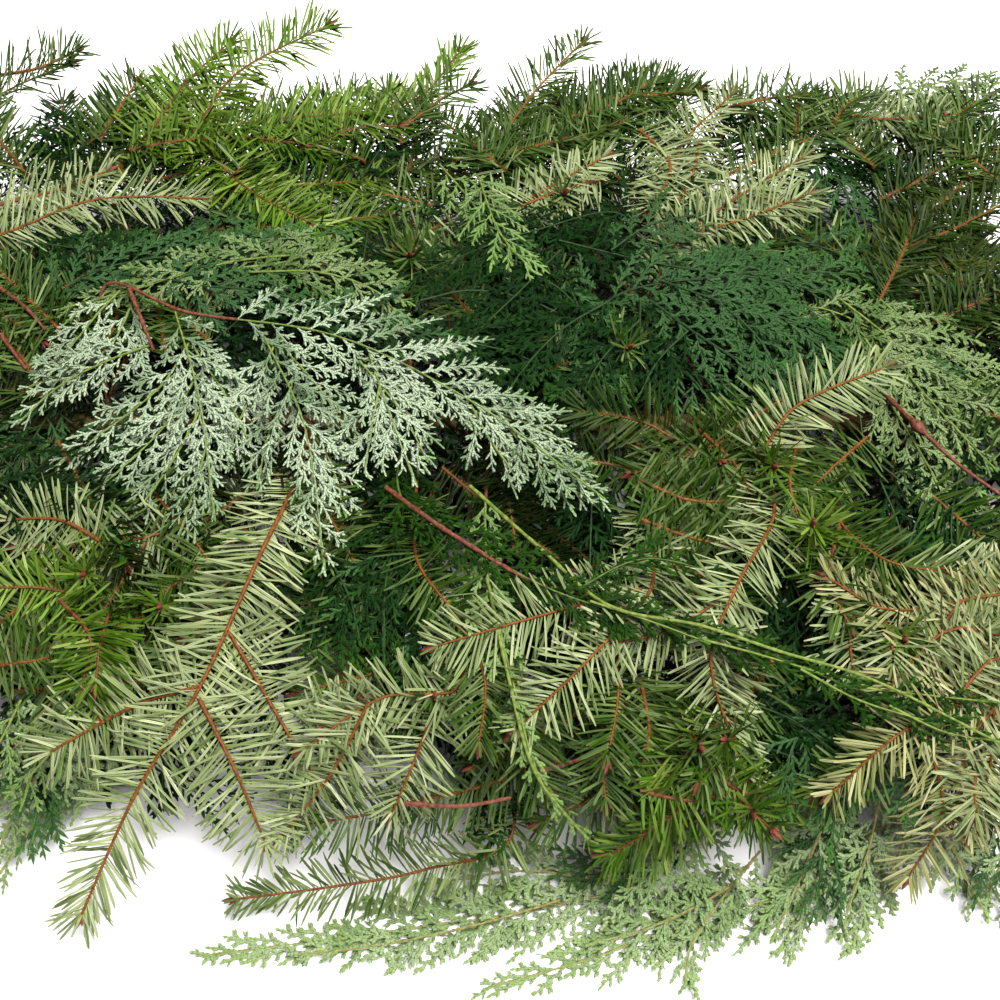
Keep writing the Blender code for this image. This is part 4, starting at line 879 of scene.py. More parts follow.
SPRAYS = read_routes("""
cedar_silver_bough cedar_silver: -175 50 100 -135 30 106 -70 15 108 -10 -20 106 40 -60 98
-160 40 102 -170 15 98 -205 5 85 / -140 30 106 -125 -15 104 -115 -65 92
-100 15 107 -80 -30 103 -70 -85 86 / -55 5 108 -45 -25 104 -35 -50 96
fir_front_bough fir_pale: -85 -45 85 -95 -85 92 -115 -135 78 -140 -170 55 -160 -210 32
-115 -135 78 -140 -140 72 -175 -155 60 / -115 -140 78 -100 -165 62 -90 -185 42
-105 -115 85 -85 -145 72 -70 -165 58
fir_back_left_bough fir_bright: -220 140 70 -180 155 85 -125 165 92 -45 185 88 -20 215 95
-150 160 90 -130 185 105 -85 210 115 / -175 155 88 -155 185 100 -135 210 105
-150 160 -120 120 -80 95 88
cedar_long_spray cedar_lime: -40 -60 98 -15 -85 104 25 -110 104 85 -125 98 135 -140 85 195 -155 68
25 -110 104 55 -95 106 90 -100 100
fir_hanging_pale fir_pale: 110 -65 95 90 -105 100 80 -130 88 95 -165 60
90 -105 100 65 -120 96 40 -125 92
fir_pale_crown fir_pale: 105 -40 95 120 -25 110 160 -5 112
fir_pale_trio fir_pale: 75 80 85 100 100 96 145 135 98 / 80 85 88 85 140 95 115 180 98
90 90 92 115 95 98 145 110 98
cedar_lime_sprig cedar_lime: -5 -95 98 5 -140 90 15 -170 70 35 -185 45
fir_pale_left fir_pale: -265 85 85 -230 90 92 -190 110 94 -135 115 90
fir_pale_left_front fir_pale: -85 -42 70 -120 -58 76 -160 -72 80 -200 -68 72
fir_front_pale_shoots fir_pale: -15 -135 80 -45 -142 82 -75 -158 70
-22 -137 80 -35 -165 62 -42 -175 48 / -50 -145 82 -65 -165 62 -85 -182 42
fir_pale_pair fir_pale: 60 -95 90 35 -130 94 5 -155 80 / 55 -100 92 15 -116 99 -25 -127 95
fir_pale_right fir_pale: 205 -115 78 180 -140 80 150 -155 78 125 -172 60
190 -130 80 188 -160 62 180 -182 46 / 160 -152 78 170 -175 50 160 -192 24
fir_right_edge fir_pale: 235 -85 78 190 -100 86 150 -108 90 128 -95 92
180 -103 88 165 -120 84 145 -140 78
fir_curved_right fir_green: 130 -45 84 140 -75 92 152 -90 96 172 -92 92
cedar_low_front cedar_blue: 70 -180 18 25 -195 3 -40 -205 0.45 -115 -215 0.45
cedar_low_right cedar_blue: 125 -185 14 80 -200 2 40 -215 0.45 -5 -228 0.45
cedar_fan_right cedar_blue: 165 -150 30 155 -180 8 140 -212 1.5
160 -165 20 130 -185 8 112 -212 1.5 / 165 -155 25 190 -175 10 205 -200 2
fir_lying_front fir_green: 5 -175 30 -30 -186 18 -65 -192 16 -105 -197 15
fir_bright_front fir_bright: 108 -128 50 90 -156 54 66 -176 50 42 -187 36 / 98 -145 53 84 -158 80
84 -162 54 102 -186 60
fir_middle_shoots fir_green: -34 -80 88 -22 -105 93 0 -125 88 / -20 -108 92 -6 -135 87 -8 -158 74
cedar_middle_dark cedar_dark: -40 -60 84 -45 -95 88 -45 -125 78 / -42 -70 84 -62 -90 80 -72 -115 68
cedar_hanging_dark cedar_dark: 18 76 82 36 35 94 50 -20 95 / 33 42 94 8 18 96 -22 -8 94
cedar_centre_dark cedar_dark: 60 105 86 15 86 98 -45 55 100 -85 48 96
40 96 92 -5 112 90 -30 138 84
cedar_upper_left cedar_blue: -195 55 92 -135 72 100 -70 82 102 / -150 66 98 -120 105 92 -85 125 86
cedar_right_dark cedar_blue: 45 45 92 100 55 102 150 62 96 190 65 85
85 52 100 110 20 102 125 -10 92
cedar_right_pale cedar_lime: 135 45 90 175 25 92 220 0 84 250 -15 74
165 30 92 180 -5 94 205 -40 88
cedar_right_under cedar_dark: 205 -40 74 190 -65 76 175 -85 72 168 -110 62
cedar_top_right cedar_dark: 140 150 76 175 145 86 215 125 82 / 165 148 84 200 180 78 250 205 72
fir_bright_right fir_bright: 170 70 78 205 80 84 248 82 76 / 178 72 80 210 115 88 255 160 82
205 80 84 215 45 78
fir_top_twigs fir_green: -40 130 75 -5 150 90 18 180 100 42 212 104 / -25 138 80 10 145 88 42 165 88
fir_top_edge fir_green: 20 145 75 55 175 85 98 195 88
fir_pale_middle fir_pale: -20 90 84 18 112 96 50 135 98
fir_far_left_twig fir_green: -295 165 68 -255 190 86 -220 212 90
fir_left_brown fir_green: -258 70 80 -228 48 88 -202 30 86 / -250 60 82 -242 10 70 -225 -25 58
cedar_dark_left cedar_dark: -255 130 62 -235 160 68 -212 188 72
-248 140 64 -275 175 50 -300 200 34
fir_left_tufts fir_bright: -150 -85 66 -180 -98 66 -212 -112 52
-158 -92 66 -180 -94 82 -202 -96 86 / -158 -90 66 -156 -118 76 -156 -142 66
cedar_left_low cedar_blue: -150 -120 34 -178 -150 22 -205 -188 7
-158 -128 32 -185 -138 34 -218 -158 24
fir_star_right fir_green: 125 -62 70 123 -76 95 120 -84 114
fir_olive_middle fir_dark: 82 -30 86 60 -22 96 32 -14 94
fir_back_low_left fir_green: -150 95 45 -165 150 42 -180 195 24
-162 140 43 -130 175 34 -112 200 26
cedar_back_left cedar_dark: -95 95 48 -85 145 34 -78 180 8 -72 215 0.45
-88 135 38 -50 170 24 -30 195 10
fir_back_middle fir_green: -20 95 50 -5 150 44 10 200 26 / -8 140 46 25 175 36 45 198 28
cedar_back_right cedar_blue: 65 95 46 75 145 32 82 180 8 88 215 0.45
73 135 36 100 165 26 118 200 10
fir_back_right fir_green: 130 95 50 155 145 44 175 195 24 / 145 130 48 190 150 40 225 178 28
cedar_end_left_front cedar_blue: -235 -35 45 -268 -80 22 -300 -125 3
-245 -50 38 -280 -50 24 -315 -62 8
fir_end_left fir_green: -262 0 70 -295 5 60 -335 15 38 / -272 2 68 -300 -25 52 -325 -38 36
-270 2 68 -295 45 60 -325 62 42
cedar_end_left_back cedar_dark: -245 60 40 -285 100 14 -315 130 0.45
fir_end_right_front fir_green: 245 -45 58 280 -80 40 318 -112 22 / 258 -58 52 290 -55 40 325 -60 26
cedar_end_right cedar_lime: 262 5 66 295 5 48 335 0 20 / 270 5 62 292 35 46 318 52 24
cedar_end_right_back cedar_blue: 245 65 50 280 100 28 312 130 3 / 255 75 44 262 120 30 262 160 8
cedar_under_middle cedar_dark: -55 22 24 -28 9 2 0 0 0.42 45 -14 0.42 80 -24 0.42
cedar_under_left cedar_dark: -150 -10 22 -168 -35 2 -185 -65 0.42 -198 -100 0.42
cedar_under_right cedar_dark: 150 20 22 165 45 2 180 78 0.42 192 115 0.42
cedar_under_back cedar_dark: -190 55 22 -205 85 2 -215 115 0.42 -222 145 0.42
""")
print("sprays:", len(SPRAYS), "routes:", sum(len(routes) for routes in SPRAYS.values()))

# %% [markdown]
# ## Habits of single sprays
#
# The sprays in front differ in ways that the photograph shows closely: the great bough at the
# front left has long flat needles with their pale side up, the silver fan has broad scales, and
# the top sprays bristle upwards. A few sprays also have a look of their own.

# %% Habits by kind and by spray
FIR_KINDS = {
    "fir_green": {},
    "fir_pale": {"under": 0.8, "lift": 2.0, "spread": 18.0},
    "fir_bright": {"under": 0.15, "lift": 16.0, "length": 16.0},
    "fir_dark": {"under": 0.1, "lift": 26.0},
}
NARROW = {"angle": (38, 24), "reach": 15.0}
CEDAR_KINDS = {
    "cedar_dark": {},
    "cedar_blue": {"droop": 0.42, "width": 1.5, "lobes": True},
    "cedar_silver": {
        "reach": 36.0, "width": 1.25, "pitch": 5.2, "lobes": True, "droop": 0.05, "angle": (44, 26),
    },
    "cedar_lime": {"lobes": True, "reach": 24.0},
    "cedar_fresh": {"lobes": True, "width": 1.4, "droop": 0.25},
    "cedar_mid": {"lobes": True, "width": 1.4, **NARROW},
}
LYING = {
    "pitch": 5.0, "reach": 38.0, "angle": (36, 20), "width": 1.5, "cord_pitch": 2.6, "droop": 0.0,
    "cord": 7.5,
}
SPECIAL = {
    "fir_front_bough": {
        "length": 21.0, "width": 1.1, "under": 0.9, "lift": -4.0, "spread": 14.0, "pitch": 0.62,
        "lean": (78, 68, 38), "twig": 1.15,
    },
    "fir_lying_front": {"length": 15.0, "under": 0.45, "spread": 24.0},
    "fir_back_left_bough": {"length": 19.0, "pitch": 0.5, "width": 1.1},
    "fir_star_right": {"round": True, "length": 19.0, "pitch": 0.5},
    "fir_pale_trio": {"length": 16.0, "lift": 8.0},
    "cedar_long_spray": {"reach": 19.0, "pitch": 4.4, "angle": (36, 22), "width": 1.4},
    "cedar_lime_sprig": {"width": 1.6, **NARROW},
    "cedar_low_front": LYING,
    "cedar_low_right": LYING,
    "cedar_top_right": {"lobes": True, "width": 1.6},
}
PLAIN = {"fine": False, "lobes": False}
TWIG_BARKS = {"fir_bright": "red_bark", "fir_dark": "red_bark"}
KIND_RIBS = dict.fromkeys(("cedar_silver", "cedar_lime", "cedar_fresh", "cedar_mid"), "lime_rib")
LOOK_RIBS = {"cedar_low": "tan_rib", "cedar_mid": "green_rib"}


def habit_for(kind, spray=""):
    if kind in FIR_KINDS:
        return {**FIR_HABIT, **FIR_KINDS[kind], **SPECIAL.get(spray, {})}
    return {**CEDAR_HABIT, **CEDAR_KINDS[kind], **SPECIAL.get(spray, {})}


def finishes_for(kind, look=None):
    """The finishes of leaves, twigs and buds or ribs. A look changes the leaves' finish."""
    if kind in FIR_KINDS:
        return [NEEDLES[look or kind], BARKS[TWIG_BARKS.get(kind, "fir_bark")], BARKS["fir_bud"]]
    rib = LOOK_RIBS.get(look) or KIND_RIBS.get(kind, "cedar_rib")
    return [SCALES[look or kind], BARKS["cedar_bark"], BARKS[rib]]


def grow(foliage, rng, kind, route, habit, buds=True):
    if kind in FIR_KINDS:
        grow_fir(foliage, rng, route, habit, buds)
    else:
        grow_cedar(foliage, rng, route, habit)


print("kinds:", len(FIR_KINDS) + len(CEDAR_KINDS), "sprays with their own habit:", len(SPECIAL))

# %% [markdown]
# ## Dress every spray
#
# The main twig of each spray starts hidden at the rope, bends up to its first seen point and
# follows its route from there. Each spray becomes one piece and stands for its CAD node.

# %% Dress the sprays
SPRAY_SEED = 100
TOP_FACING = 0.6
HIDDEN_BARE = 0.6
SIDE_SHOOT = 0.8
SHOWN_TWIGS = {"cedar_silver_bough": 70.0}
UNSEEN = ("back_low", "cedar_back", "fir_back_m", "fir_back_r", "end_", "under_")
LOOKS = {
    # The low fans at the front take the paler finish with painted light.
    "cedar_low_front": "cedar_low",
    "cedar_low_right": "cedar_low",
    "cedar_fan_right": "cedar_low",
    "cedar_left_low": "cedar_low",
    "cedar_right_pale": "cedar_fresh",
    "cedar_long_spray": "cedar_mid",
    "fir_bright_right": "fir_olive",
    "fir_bright_front": "fir_grass",
    "fir_back_left_bough": "fir_sun",
    "fir_left_tufts": "fir_sun",
    "fir_star_right": "fir_sun",
    "fir_right_edge": "fir_straw",
    "fir_pale_right": "fir_straw",
}


def from_rope(route):
    """The route with its hidden start at the rope, and the length of that start."""
    first = np.array(route[0], float)
    root = np.array([np.clip(first[0], -ROPE_HALF, ROPE_HALF), ROPE_Y, ROPE_Z])
    return [tuple(root)] + route, float(np.linalg.norm(first - root))


for number, (title, routes) in enumerate(SPRAYS.items()):
    name, kind = title.split()
    rng = np.random.default_rng(SPRAY_SEED + number)
    foliage = Foliage()
    habit = habit_for(kind, name)
    habit.update(PLAIN if any(part in name for part in UNSEEN) else {"facing": TOP_FACING})
    main_route, hidden = from_rope(routes[0])
    bare = max(habit["bare"], HIDDEN_BARE * hidden)
    if name in SHOWN_TWIGS:
        bare = hidden + SHOWN_TWIGS[name]
    grow(foliage, rng, kind, main_route, {**habit, "bare": bare, "bark": 1})
    side_habit = {**habit, "twig": habit["twig"] * SIDE_SHOOT}
    side_habit["reach"] = habit.get("reach", 0) * SIDE_SHOOT
    for route in routes[1:]:
        grow(foliage, rng, kind, route, side_habit)
    piece = foliage.piece(name, finishes_for(kind, LOOKS.get(name)))
    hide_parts(name)
print("sprays dressed:", len(SPRAYS), "triangles:", sum(TRIANGLES.values()))

# %% [markdown]
# ## Filling sprays
#
# A bound garland is many layers deep. A second layer of shorter shoots lies between and below
# the main sprays, and fills the gaps that the photograph shows as shaded foliage. Each kind of
# foliage in a layer is one piece.

# %% Filling sprays
FILLING_SEED = 300
FILLING = read_routes("""
fir_green: -200 65 -215 40 -230 15 80 / -145 -95 -175 -110 -210 -115 62
-135 -120 -165 -125 -190 -125 55 / -185 135 -135 145 -85 155 78 / -30 120 -60 125 -80 130 80
-105 -60 -120 -80 -140 -95 74 / 110 -15 85 -30 55 -40 84 / 110 -60 80 -55 55 -60 82
55 -80 80 -90 95 -100 82 / -30 -115 -55 -125 -80 -130 62 / 10 -125 -25 -135 -50 -150 64
55 -125 40 -155 40 -175 60 / 25 -150 -10 -165 -40 -170 46 / 65 -150 40 -165 15 -175 40
-20 -160 -45 -170 -80 -175 36 / 110 -115 90 -145 75 -170 66 / 160 -130 145 -155 120 -170 55
200 -125 185 -160 175 -175 48 / 205 -65 195 -95 180 -115 74 / 150 -75 145 -100 135 -120 72
195 -135 165 -140 145 -135 68 / 45 -115 45 -140 40 -165 76 / 130 -65 130 -95 145 -105 80
-200 -120 -185 -120 -175 -115 66 / -168 150 74 -139 152 76 -104 155 76
-118 145 76 -84 148 78 -49 153 78 / -97 130 80 -68 135 80 -34 139 80
-204 152 72 -174 154 74 -145 164 74
fir_dark: -95 130 -50 145 -15 165 76 / 10 150 50 175 85 205 74 / 30 125 70 145 100 160 78
50 195 70 205 90 215 76 / 60 -35 25 -30 -10 -15 80 / 90 -80 75 -100 60 -115 80
40 -130 15 -150 -10 -160 60 / -65 -110 -80 -90 -90 -70 66 / 30 190 50 195 70 210 78
180 45 215 105 245 150 74 / 180 100 210 120 250 145 80 / 180 45 210 55 240 50 76
190 135 215 160 245 195 74 / 205 35 210 65 220 105 80
fir_bright: -145 -75 -175 -85 -200 -95 72 / -140 100 -95 100 -55 110 84 / 85 -130 70 -150 55 -165 58
-155 -105 -155 -120 -155 -135 78 / -170 160 -115 155 -65 175 86 / 80 -170 60 -180 40 -185 34
-130 126 84 -96 128 86 -58 132 86 / -147 146 82 -119 121 86 -89 100 88
fir_pale: -90 -75 -105 -95 -125 -110 70 / 205 -105 180 -120 155 -130 74
165 -120 175 -115 190 -115 84 / 150 -110 150 -125 150 -130 84 / 175 -140 185 -130 195 -125 84
185 -155 180 -170 180 -180 58 / 175 180 190 175 220 180 82 / 215 -95 200 -95 175 -100 80
cedar_dark: -260 150 -220 165 -190 155 70 / -230 85 -190 90 -160 100 78 / -240 40 -210 50 -190 60 80
-15 100 20 100 45 105 84 / 135 190 170 195 210 210 72 / 155 140 195 150 245 185 76
135 125 170 125 210 140 80 / 65 40 25 35 -15 50 84 / 55 10 15 15 -20 35 82 / 90 60 60 30 35 10 82
0 65 10 25 25 0 84 / 60 -60 25 -55 -10 -50 78 / -60 -55 -70 -90 -75 -115 74
-45 0 -10 -15 25 -25 86 / -142 62 78 -124 34 76 -115 10 70 / -132 68 78 -120 46 76 -107 20 72
-76 98 80 -60 76 80 -50 52 76 / -68 42 80 -55 15 78 -50 -4 74 / -65 -11 76 -53 -31 74 -42 -49 70
-73 -22 76 -55 -40 72 -29 -52 68 / 42 -25 80 50 -44 78 58 -61 74
-149 -140 40 -128 -151 36 -104 -162 30 / -74 2 80 -54 -13 78 -34 -26 74
-72 -32 76 -54 -18 78 -39 0 76 / -222 170 70 -201 159 70 -179 152 70
-253 163 66 -232 160 66 -210 149 66 / -80 158 74 -59 139 76 -39 128 76
-159 153 72 -146 130 74 -117 130 74 / 156 135 76 174 118 76 193 112 72
177 170 70 188 146 72 196 132 72 / -159 147 68 -119 148 70 -79 149 72
-111 162 64 -71 163 66 -30 163 68 / -231 151 64 -196 156 66 -161 159 68
-82 179 62 -51 180 64 -20 174 66
cedar_blue: -195 10 -205 -30 -210 -65 72 / -165 5 -175 -35 -180 -60 74
-160 -115 -180 -145 -185 -180 30 / -170 -115 -195 -140 -210 -160 32 / 65 80 110 70 160 55 86
65 55 105 45 155 25 86 / 90 30 125 30 170 25 82 / 65 40 85 5 95 -10 84 / -25 -60 -40 -85 -60 -105 80
-25 -80 -25 -110 -35 -130 78 / -10 -80 -10 -110 -25 -135 80 / 135 -130 115 -150 105 -175 60
150 -135 135 -160 125 -180 50 / 185 -130 165 -155 155 -175 52 / 195 -45 180 -75 170 -105 72
80 -170 55 -180 25 -185 14 / 145 -155 130 -180 125 -200 14 / 205 -150 205 -180 205 -195 14
95 -140 115 -145 140 -155 58 / 125 125 140 155 155 190 78
cedar_lime: 160 40 190 15 220 -20 80 / 170 25 190 -10 195 -35 80 / 175 -5 195 -40 205 -65 74
-10 115 0 75 15 55 104
""")
FILLING_CHANGES = {"facing": 0.5, **PLAIN}


def grow_layer(name, seed, kind, routes, changes, look=None, fine=0, end=NO_END, **options):
    """Makes one piece of shoots that share a habit. `routes` gets the random numbers to draw on."""
    rng = np.random.default_rng(seed)
    foliage = Foliage(end)
    for route in routes(rng):
        grow(foliage, rng, kind, route, {**habit_for(kind), **changes}, **options)
    return foliage.piece(name, finishes_for(kind, look), fine)


for number, (kind, routes) in enumerate(FILLING.items()):
    seed = FILLING_SEED + number
    layer = grow_layer("filling_" + kind, seed, kind, lambda _: routes, FILLING_CHANGES)
print("filling shoots:", sum(map(len, FILLING.values())), "triangles:", sum(TRIANGLES.values()))

# %% [markdown]
# ## Further shoots on top
#
# The photograph shows more shoots than the CAD model has sprays. The silver fans carry long
# side fronds of their own, and smaller shoots lie between the big sprays.

# %% Further shoots
FURTHER_SEED = 350
FURTHER = read_routes("""
cedar_silver: -132 16 104 -143 -5 99 -165 -23 92 -188 -38 84
-127 -2 103 -139 -24 97 -157 -41 89 -175 -54 82 / -124 -17 101 -132 -36 96 -145 -56 88 -156 -67 82
-131 13 104 -115 -11 100 -104 -31 93 -98 -49 86 / -120 -33 99 -124 -52 93 -129 -69 86
-96 12 105 -103 -9 101 -110 -25 95 -112 -40 90 / -87 -8 103 -95 -27 98 -99 -48 91
-93 12 105 -75 -9 101 -62 -30 95 / -81 -25 101 -70 -41 96 -63 -62 90
-149 14 103 -167 9 99 -188 1 92 -205 -12 84 / -59 2 107 -41 -21 103 -31 -40 98
-50 -10 106 -53 -30 101 -55 -46 96 / -25 -9 105 -4 -20 102 19 -28 98 31 -38 95
-12 -19 104 -4 -34 100 8 -51 95 / 4 -30 102 18 -48 98 36 -59 93
-167 46 102 -175 37 99 -187 22 93 -202 11 86
cedar_blue: -155 56 101 -132 49 102 -106 46 102 -74 36 101
-87 25 100 -65 31 101 -43 24 101 -21 15 99 / 63 65 100 89 58 102 120 54 100 156 49 93
71 53 101 96 40 102 127 32 98 153 23 92 / 66 43 99 86 22 100 107 8 97 129 4 92
50 73 99 69 89 99 93 98 96 121 96 92 / 129 86 92 151 80 92 173 65 88 180 50 85
144 169 84 155 143 88 166 116 88 168 92 86 / 115 44 98 131 29 95 152 11 90 167 -3 87
162 22 90 181 5 90 202 -2 86 218 -16 82 / 27 62 98 37 32 98 43 6 96 46 -15 92
-23 111 93 -5 87 98 9 69 100 16 59 98
cedar_fresh: -118 58 103 -96 62 103 -76 71 101 -67 76 99
-111 56 103 -80 55 104 -55 45 103 -43 31 101 / -76 67 104 -120 61 104 -163 48 100 -195 42 94
151 46 96 170 24 95 188 -1 91 205 -22 84 / 157 29 95 171 -2 92 177 -24 87 189 -40 80
169 48 94 188 26 92 211 9 86 / 166 176 78 202 184 82 234 197 82 263 211 80
177 179 78 200 170 80 231 173 80 / 192 186 82 219 202 84 252 212 82
174 16 90 188 -6 90 205 -24 86 220 -26 82 / 163 3 90 169 -16 90 179 -39 86 186 -55 80
cedar_mid: 75 -127 101 97 -132 98 119 -138 95 / 112 -137 96 134 -147 90 161 -153 84
134 -142 91 162 -143 86 189 -144 82 / 145 -148 88 166 -156 82 187 -158 78
34 -113 105 56 -121 104 75 -128 102
cedar_dark: 48 41 101 26 23 102 8 0 100 0 -16 96 / 27 72 100 9 46 102 -9 24 101 -19 10 98
61 31 100 43 8 100 34 -10 96 31 -20 92 / 82 26 99 68 10 98 59 -6 94
-35 42 100 -13 47 101 13 43 99 39 30 94 / -39 25 100 -17 19 100 9 13 97 26 3 93
9 62 98 27 49 99 39 28 97 43 -2 92 / 62 45 97 61 22 97 64 3 93 / 27 82 96 45 75 97 63 71 95
66 119 92 85 111 93 101 86 92 / -248 159 80 -224 169 84 -206 178 82
-222 88 90 -187 78 94 -159 73 96 -128 79 96 / -200 67 92 -206 51 90 -215 39 84
-68 -82 84 -59 -100 84 -55 -115 78 / -32 -86 90 -27 -107 88 -29 -126 82
85 -16 90 102 -7 92 124 0 90 / 158 -43 84 163 -66 82 165 -90 74 / 192 -38 84 184 -66 82 184 -92 78
124 -130 74 136 -116 80 151 -98 80 / 93 -137 70 112 -144 68 128 -153 60
93 -149 60 116 -156 56 137 -167 44
cedar_lime: -29 136 92 -14 108 96 0 79 99 11 67 98 / -190 -131 58 -197 -146 52 -209 -161 40
-174 -131 58 -182 -148 48 -190 -167 34
fir_pale: -72 -153 72 -63 -146 75 -53 -141 78 / 68 158 94 81 131 96 70 104 93
97 150 95 90 122 95 79 102 92 / 108 114 96 121 107 97 137 104 97
-236 111 90 -208 119 92 -187 132 92 / 143 -95 82 136 -117 82 137 -131 76
192 -139 74 180 -153 68 176 -165 58 / 172 -82 84 183 -91 84 204 -88 82 / 47 121 96 28 114 96 0 99 95
175 180 84 191 172 88 220 178 86 / 78 -107 88 85 -123 84 90 -139 74
-161 -74 86 -179 -64 86 -202 -60 80
fir_green: -196 157 88 -188 172 94 -180 189 98 / -254 205 88 -233 206 92 -216 220 92
-49 160 92 -30 179 94 -15 193 92 / 30 172 88 55 178 92 78 197 92 / 29 150 88 49 162 90 69 173 90
50 184 90 75 185 92 100 189 92 / 110 179 88 130 184 90 151 190 88 / -10 141 90 10 145 93 29 153 92
-195 35 88 -211 51 90 -229 71 88 / 83 -24 94 98 -45 94 105 -65 88 / 125 -26 96 117 -53 98 120 -68 92
57 -47 90 77 -57 90 98 -56 88 / 57 -65 88 80 -75 88 101 -75 84 / 137 -67 90 130 -94 88 136 -112 84
15 -140 76 11 -158 70 19 -169 58 / 54 -132 78 57 -150 70 54 -162 60
fir_dark: 180 116 88 206 131 90 242 164 88 / 185 84 88 209 94 90 243 118 86
187 37 86 206 47 88 232 61 86 / 171 53 88 183 76 90 195 104 90
fir_bright: -180 148 90 -151 153 92 -112 153 92 -83 148 90 / -97 148 90 -73 159 93 -49 162 93
-174 -99 82 -159 -117 82 -162 -135 74 / 53 -171 62 72 -174 60 92 -168 56
76 -160 66 91 -170 60 112 -171 52 / 85 -145 70 72 -158 70 61 -170 60
""")
FURTHER_CHANGES = {
    "cedar_silver": {"reach": 22.0, "pitch": 4.4, "angle": (40, 24)},
    "cedar_blue": {"reach": 26.0},
    "cedar_dark": {"reach": 26.0, "lobes": True, "width": 1.45, "droop": 0.3},
    "cedar_lime": {"reach": 21.0},
    "cedar_fresh": {"reach": 28.0},
}
FURTHER_SLOTS = {"cedar_fresh": "cedar_lime", "cedar_mid": "cedar_lime"}

for number, (kind, routes) in enumerate(FURTHER.items()):
    seed, changes = FURTHER_SEED + number, {"facing": TOP_FACING, **FURTHER_CHANGES.get(kind, {})}
    layer = grow_layer("further_" + kind, seed, kind, lambda _: routes, changes, fine=1)
    FURTHER_SLOTS.get(kind, kind)
print("further shoots:", sum(map(len, FURTHER.values())), "triangles:", sum(TRIANGLES.values()))

# %% [markdown]
# ## Pale fans at the front edge
#
# Along the front edge cedar fans hang down to the surface or lie on it. They are plump, and
# catch so much light that they look pale blue-green. Their finish is a paler copy of the blue
# cedar with that light painted into its colour.

# %% Pale fans at the front edge
EDGE_SEED = 380
EDGE_FANS = read_routes("""
edge: 64 -193 14 40 -187 10 8 -183 8 -16 -186 7 -32 -188 6
96 -189 14 76 -199 9 56 -207 7 36 -212 6 / 104 -179 20 88 -196 10 75 -214 6 72 -228 5
24 -195 8 -8 -204 6 -47 -212 5 -79 -216 5 / 135 -157 40 128 -173 26 118 -192 12 109 -208 6
151 -163 34 147 -179 22 139 -198 10 136 -208 6 / 175 -163 34 182 -179 20 190 -193 9 194 -199 7
163 -163 34 161 -176 24 156 -188 12 / 198 -164 36 201 -179 22 196 -192 10
-175 -127 58 -187 -140 50 -202 -152 38 / -164 -136 50 -180 -149 40 -195 -164 26 -203 -176 12
-154 -136 40 -170 -150 32 -183 -158 22
""")["edge"]

edge_changes = {"reach": 24.0, "facing": 0.4, "width": 1.7}
edge_piece = grow_layer(
    "edge_fans", EDGE_SEED, "cedar_blue", lambda _: EDGE_FANS, edge_changes, "cedar_low", fine=1,
)
print("edge fans:", len(EDGE_FANS))

# %% [markdown]
# ## Bare twigs
#
# In some places a bare twig lies across the foliage, where its needles have dropped. One has a
# knob where a side twig broke off. Two long yellow-green ribs cross the front.

# %% Bare twigs
BARE_SEED = 700
BARE_TWIGS = read_routes("""
bare: -46 -55 96 -27 -76 104 -12 -88 105 11 -103 104 25 -106 102 53 -114 98
164 -4 92 174 -27 98 188 -43 95 208 -56 88 / -162 44 105 -155 28 106 -147 10 104
-36 -176 62 -15 -178 64 4 -173 60 / 15 -165 66 27 -162 68 38 -157 66
-225 57 92 -210 43 94 -200 32 92 / -220 31 90 -206 13 88
lime: -12 -59 103 15 -89 105 41 -115 105 75 -123 104 105 -132 100 138 -140 94 186 -160 81
-6 -94 100 3 -138 93 13 -168 73 33 -184 47
knob: 171 -21 97 173 -25 97.5 176 -29 97.5
""")
BARE_RADII = {"bare": 1.05, "lime": 0.8}
NODE_EVERY, NODE_SWELL = 5, 0.25
KNOB_RADII = (1.2, 2.7, 1.3)

foliage = Foliage()
rng = np.random.default_rng(BARE_SEED)
for slot, (name, radius) in enumerate(BARE_RADII.items()):
    for route in BARE_TWIGS[name]:
        line = evenly(smooth(route), 2 * STEP)
        swell = 1 + NODE_SWELL * (np.arange(len(line)) % NODE_EVERY == 2)
        foliage.twig(line, radius * np.linspace(1, 0.6, len(line)) * swell, slot, rng.random())
knob = smooth(BARE_TWIGS["knob"][0])
foliage.twig(knob, np.interp(np.linspace(0, 2, len(knob)), (0, 1, 2), KNOB_RADII), 0, 0.9)
bare_piece = foliage.piece("bare_twigs", [BARKS["cedar_bark"], BARKS["lime_rib"]], fine=2)
print("bare twigs:", {name: len(BARE_TWIGS[name]) for name in BARE_RADII})

# %% [markdown]
# ## Tufts that point at the viewer
#
# Some fir shoots end towards the camera. Their needles stand round a red bud like a star.

# %% Tufts
TUFT_SEED = 400
TUFTS = {
    "fir_green": [
        (-40, 65, 104), (55, 15, 100), (90, -45, 100), (-25, -140, 80), (30, 110, 98),
        (75, -160, 78), (-70, -80, 84),
    ],
    "fir_bright": [
        (-165, -90, 86), (-135, -100, 78), (110, -50, 104), (95, -180, 62), (155, -120, 88),
    ],
}
TUFT_DEPTH = 30.0
TUFT_HABIT = {"round": True, "length": 17.0, "lean": (75, 62, 34), "under": 0.2, "pitch": 0.5}
TUFT_WAY = np.array([0.0, -0.45, 0.6])


def tuft_routes(rng, tips):
    for tip in np.array(tips, float):
        way = unit(outwards(tip[None])[0] * 0.6 + TUFT_WAY + rng.normal(0, 0.18, 3))
        side = unit(np.cross(way, [0.3, 1.0, 0.2]))
        yield [tip - way * TUFT_DEPTH, tip - way * TUFT_DEPTH / 2 + side * 1.5, tip]


for number, (kind, tips) in enumerate(TUFTS.items()):
    layer = grow_layer(
        "tufts_" + kind, TUFT_SEED + number, kind, lambda rng: tuft_routes(rng, tips), TUFT_HABIT,
        fine=1,
    )
print("tufts:", sum(len(tips) for tips in TUFTS.values()))
